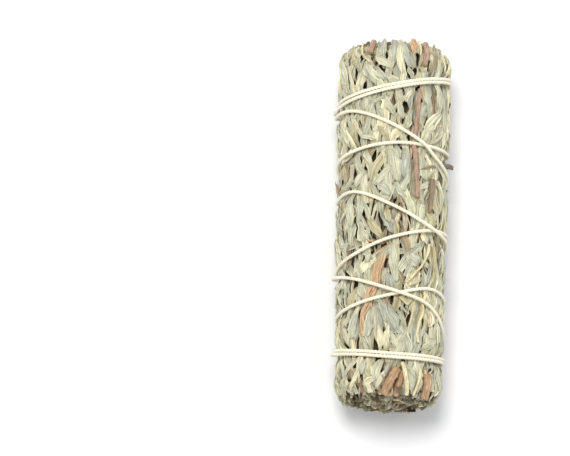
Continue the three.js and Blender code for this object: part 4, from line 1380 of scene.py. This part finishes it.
def inner_strip(dice, angle, radius):
    """A folded leaf that runs from end to end inside the stick, painted darker away from the ends as shade deep
    inside the stick.
    """
    short = dice.uniform(0, 1, 2) ** 1.3 * SHORTER + LEAST_SHORTER
    ends = LENGTH / 2 + 0.5 - short * (dice.uniform(0, 1, 2) > 0.2)
    along = np.concatenate([-ends[0] + FROM_END, [0], (ends[1] - FROM_END)[::-1]])
    t = along / LENGTH * 2
    wander = 0.35 * wave(dice, t, 2, 5)
    angles = angle + wander / max(radius, 1.5)
    radii = radius + 0.3 * wave(dice, t, 2, 5)
    radii = (radii - 0.25) * (1 + 0.04 * t)
    centre = round_axis(angles, along, radii)
    splay = dice.normal(0, SPLAY, (LEAF_ROWS, 2)) * (np.abs(t) > 0.9)[:, None]
    centre[:, [0, 2]] += splay
    half = np.full(LEAF_ROWS, dice.uniform(*INSIDE_HALF_WIDTHS)) * dice.uniform(0.85, 1.15, LEAF_ROWS)
    half[[0, -1]] *= dice.uniform(0.3, 1.0, 2)
    tilt = dice.uniform(0, np.pi) + 0.5 * np.sin(t * 3) + dice.normal(0, 0.15, LEAF_ROWS)
    u = np.linspace(-1, 1, INNER_COLUMNS)
    side = half[:, None] * u * 0.85
    lift = cross_section(dice, half, 2 * half[1], t, u, dice.normal(0, 0.8))
    thick = LEAF_THICKNESS * dice.uniform(0.8, 1.4)
    a = np.stack([np.cos(tilt), np.zeros_like(tilt), np.sin(tilt)], -1)
    b = np.stack([-np.sin(tilt), np.zeros_like(tilt), np.cos(tilt)], -1)
    low = centre[:, None] + a[:, None] * side[..., None] + b[:, None] * lift[..., None]
    high = low + b[:, None] * thick
    points = np.concatenate([high, low])
    tone = drawn(dice, INSIDE_TONES)
    look, uv = strip_look(dice, points, along, tone, clipped(dice, 0.6, 0.15), 0.1)
    # Painted shade: dark deep inside the stick, brightening towards the ends
    from_end = LENGTH / 2 - np.abs(along)
    bright = drawn(dice, INSIDE_BRIGHT)
    shade = INSIDE_SHADE + (bright - INSIDE_SHADE) * smoothstep(1 - from_end / INSIDE_FADE)
    look[..., 3] = np.tile(shade, 2)[:, None]
    reach = INSIDE_REACH[0] + (INSIDE_REACH[1] - INSIDE_REACH[0]) * smoothstep(1 - from_end / REACH_FADE)
    from_axis = points[..., ::2] - (0, AXIS_HEIGHT)
    distance = np.maximum(np.linalg.norm(from_axis, axis=-1), 1e-6)
    share = np.minimum(np.tile(reach, 2)[:, None] / distance, 1)
    points[..., ::2] = from_axis * share[..., None] + (0, AXIS_HEIGHT)
    return points * MM, look, uv


def inner_stem(dice, angle, radius, thick, short):
    """The line of a stem inside the stick, up to so much shorter at each end, and its radius, in metres."""
    t = np.linspace(-1, 1, 24)
    wander = 0.3 * wave(dice, t, 2, 5)
    angles = angle + wander / max(radius, 1.5)
    ends = LENGTH / 2 + 0.4 - dice.uniform(0, 1, 2) * (short + 0.4)
    along = np.where(t < 0, t * ends[0], t * ends[1])
    return on_stick(angles, along, radius), thick * MM


def rough_stem(dice, t):
    """Shares of a stem's radius along it: a slow wobble, and a swelling at each node."""
    shares = 0.94 + 0.05 * wave(dice, t, 8, 16)
    for place in dice.uniform(0.08, 0.92, 3):
        shares += dice.uniform(0.08, 0.22) * np.exp(-((t - place) / 0.015) ** 2)
    return shares


class SAGE_OT_place_loose(bpy.types.Operator):
    """Place the stems that the string holds on the outside"""

    bl_idname = "sage.place_loose"
    bl_label = "Place the loose pieces"

    def execute(self, context):
        string, _ = press_maps()
        dice = np.random.default_rng(SEED + 2)
        for name, kind, width, taper, route in LOOSE_STEMS:
            arc, along, depth = unrolled(route, STEM_POINTS).T
            depth = depth + np.maximum(1 - depth / PRESS_REACH, 0) * string.read_smooth(arc, along)
            angle = arc / NOMINAL_RADIUS
            points = on_stick(angle, along, skin_radius(angle, along) - depth)
            t = np.linspace(0, 1, STEM_POINTS)
            radii = width / 2 * (1 - taper * t) * rough_stem(dice, t) * MM
            paint = STEM_PAINTS.get(name, "dry_" + kind)
            thing = grown(name + "_shape", [(points, radii)], "Dry Stems", paint, Step=0.0004, Sides=12,
                          Groove_Depth=0.0003, Groove_Scale=2.2, Seed=float(dice.uniform(0, 50)))
            finished(thing, paint, kind, name)
        return {"FINISHED"}


def knot_line():
    """The string's knot: a small trefoil laid on the crossing of its two ends, in metres."""
    s = np.linspace(0, TURN, KNOT_POINTS)
    arc = KNOT_ANGLE * ARC + KNOT_SIZE * (np.sin(s) + 2 * np.sin(2 * s)) / 3
    along = KNOT_ALONG + KNOT_SIZE * (np.cos(s) - 2 * np.cos(2 * s)) / 3
    angle = arc / NOMINAL_RADIUS
    lift = 0.35 - 0.45 * np.sin(3 * s)
    return on_stick(angle, along, skin_radius(angle, along) + lift)


class SAGE_OT_bind_string(bpy.types.Operator):
    """Twist the cotton string along its route, with its knot and loose fibres"""

    bl_idname = "sage.bind_string"
    bl_label = "Bind with the string"

    def execute(self, context):
        sizes = context.scene.sage_sizes
        arc, along, lift = string_route(STRING_POINTS).T
        angle = arc / NOMINAL_RADIUS
        depth = STRING_SINK + STRING_DIAMETER / 2 - lift
        line = on_stick(angle, along, skin_radius(angle, along) - depth)
        radius = sizes.string_diameter / 2
        ply = radius / (1 + 1 / math.sin(math.pi / sizes.string_plies))
        string = grown("cotton_binding", [(line, 1.0), (knot_line(), 1.0)], "Twisted String", "cotton_string",
                       Plies=sizes.string_plies, Ply_Radius=ply * STRING_FULLNESS, Ply_Offset=radius - ply,
                       Lay_Length=LAY_LENGTH, Step=0.00036, Axis_Height=AXIS_HEIGHT * MM, Sides=7)
        finished(string, "cotton_string", "cotton", "binding_string")
        fibres = grown("cotton_fibres", [(line, 1.0)], "String Fibres", "cotton_string",
                       Spacing=FIBRE_SPACING, Fibre_Length=0.0011, Fibre_Radius=0.000011, Seed=3)
        finished(fibres, "cotton_string", "cotton")
        return {"FINISHED"}


# The stage: half the floor's width in metres, the world's light, and each light's name, place and size in
# metres, power in watts and colour
FLOOR_HALF = 1.5
WORLD_COLOUR = (0.95, 0.97, 1.0, 1)
WORLD_STRENGTH = 0.57
LIGHTS = [
    ("key", (-0.12, 0.16, 0.98), 0.4, 6.6, (1.0, 0.985, 0.955)),
    ("fill", (0.7, -0.2, 0.8), 0.7, 1.2, (0.98, 0.99, 1.0)),
]
# The camera stands as the photographer did, looking down on the stick from its butt end
CAMERA_DISTANCE = 0.85
CAMERA_ELEVATION = 75
CAMERA_AZIMUTH = 1.6
CAMERA_LENS = 191.7
LOOK_RIGHT = -0.02982
LOOK_UP = -0.00042


class SAGE_OT_set_stage(bpy.types.Operator):
    """Set the floor, the lights and the camera"""

    bl_idname = "sage.set_stage"
    bl_label = "Set the stage"

    def execute(self, context):
        scene = context.scene
        scene.view_settings.view_transform = "Standard"
        corners = FLOOR_HALF * np.array([(-1, -1, 0), (1, -1, 0), (1, 1, 0), (-1, 1, 0)])
        floor = new_mesh("floor", corners, np.array([[0, 1, 2, 3]]))
        close_material(new_material("pale_floor"), (*scene.sage_sizes.floor_colour, 1), {"Roughness": 0.9})
        floor.data.materials.append(bpy.data.materials["pale_floor"])
        world = bpy.data.worlds.new("studio")
        world.use_nodes = True
        background = world.node_tree.nodes["Background"]
        background.inputs["Color"].default_value = WORLD_COLOUR
        background.inputs["Strength"].default_value = WORLD_STRENGTH
        scene.world = world
        for light in LIGHTS:
            self.add_light(*light)
        self.add_camera(scene)
        return {"FINISHED"}

    def add_light(self, name, place, size, power, colour):
        light = bpy.data.lights.new(name, "AREA")
        light.shape = "DISK"
        light.size = size
        light.energy = power
        light.color = colour
        thing = linked(name, light)
        thing.location = place
        thing.rotation_euler = (-Vector(place)).to_track_quat("-Z", "Y").to_euler()

    def add_camera(self, scene):
        a, e = math.radians(CAMERA_AZIMUTH), math.radians(CAMERA_ELEVATION)
        back = Vector((math.sin(a) * math.cos(e), -math.cos(a) * math.cos(e), math.sin(e)))
        turned = (-back).to_track_quat("-Z", "Y")
        right, up = turned @ Vector((1, 0, 0)), turned @ Vector((0, 1, 0))
        target = Vector((0, 0, AXIS_HEIGHT * MM)) + right * LOOK_RIGHT + up * LOOK_UP
        camera = bpy.data.cameras.new("camera")
        camera.lens = CAMERA_LENS
        scene.camera = linked("camera", camera)
        scene.camera.rotation_euler = turned.to_euler()
        scene.camera.location = target + back * CAMERA_DISTANCE


class SAGE_PT_panel(bpy.types.Panel):
    """Sizes and steps of the sage stick"""

    bl_label = "Sage Stick"
    bl_idname = "SAGE_PT_panel"
    bl_space_type = "VIEW_3D"
    bl_region_type = "UI"
    bl_category = "Sage"

    def draw(self, context):
        sizes = context.scene.sage_sizes
        for name in ("string_diameter", "string_plies", "leaf_count", "floor_colour"):
            self.layout.prop(sizes, name)
        for step in STEPS:
            self.layout.operator(step.bl_idname)


STEPS = (SAGE_OT_set_stage, SAGE_OT_lay_sprigs, SAGE_OT_pack_inside, SAGE_OT_place_loose, SAGE_OT_bind_string)
CLASSES = (SageSizes, *STEPS, SAGE_PT_panel)


def register():
    for kind in CLASSES:
        bpy.utils.register_class(kind)
    bpy.types.Scene.sage_sizes = bpy.props.PointerProperty(type=SageSizes)


def unregister():
    del bpy.types.Scene.sage_sizes
    for kind in reversed(CLASSES):
        bpy.utils.unregister_class(kind)


def main():
    register()
    bpy.ops.sage.set_stage()
    bpy.ops.sage.lay_sprigs()
    bpy.ops.sage.pack_inside()
    bpy.ops.sage.place_loose()
    bpy.ops.sage.bind_string()


if __name__ == "__main__":
    main()
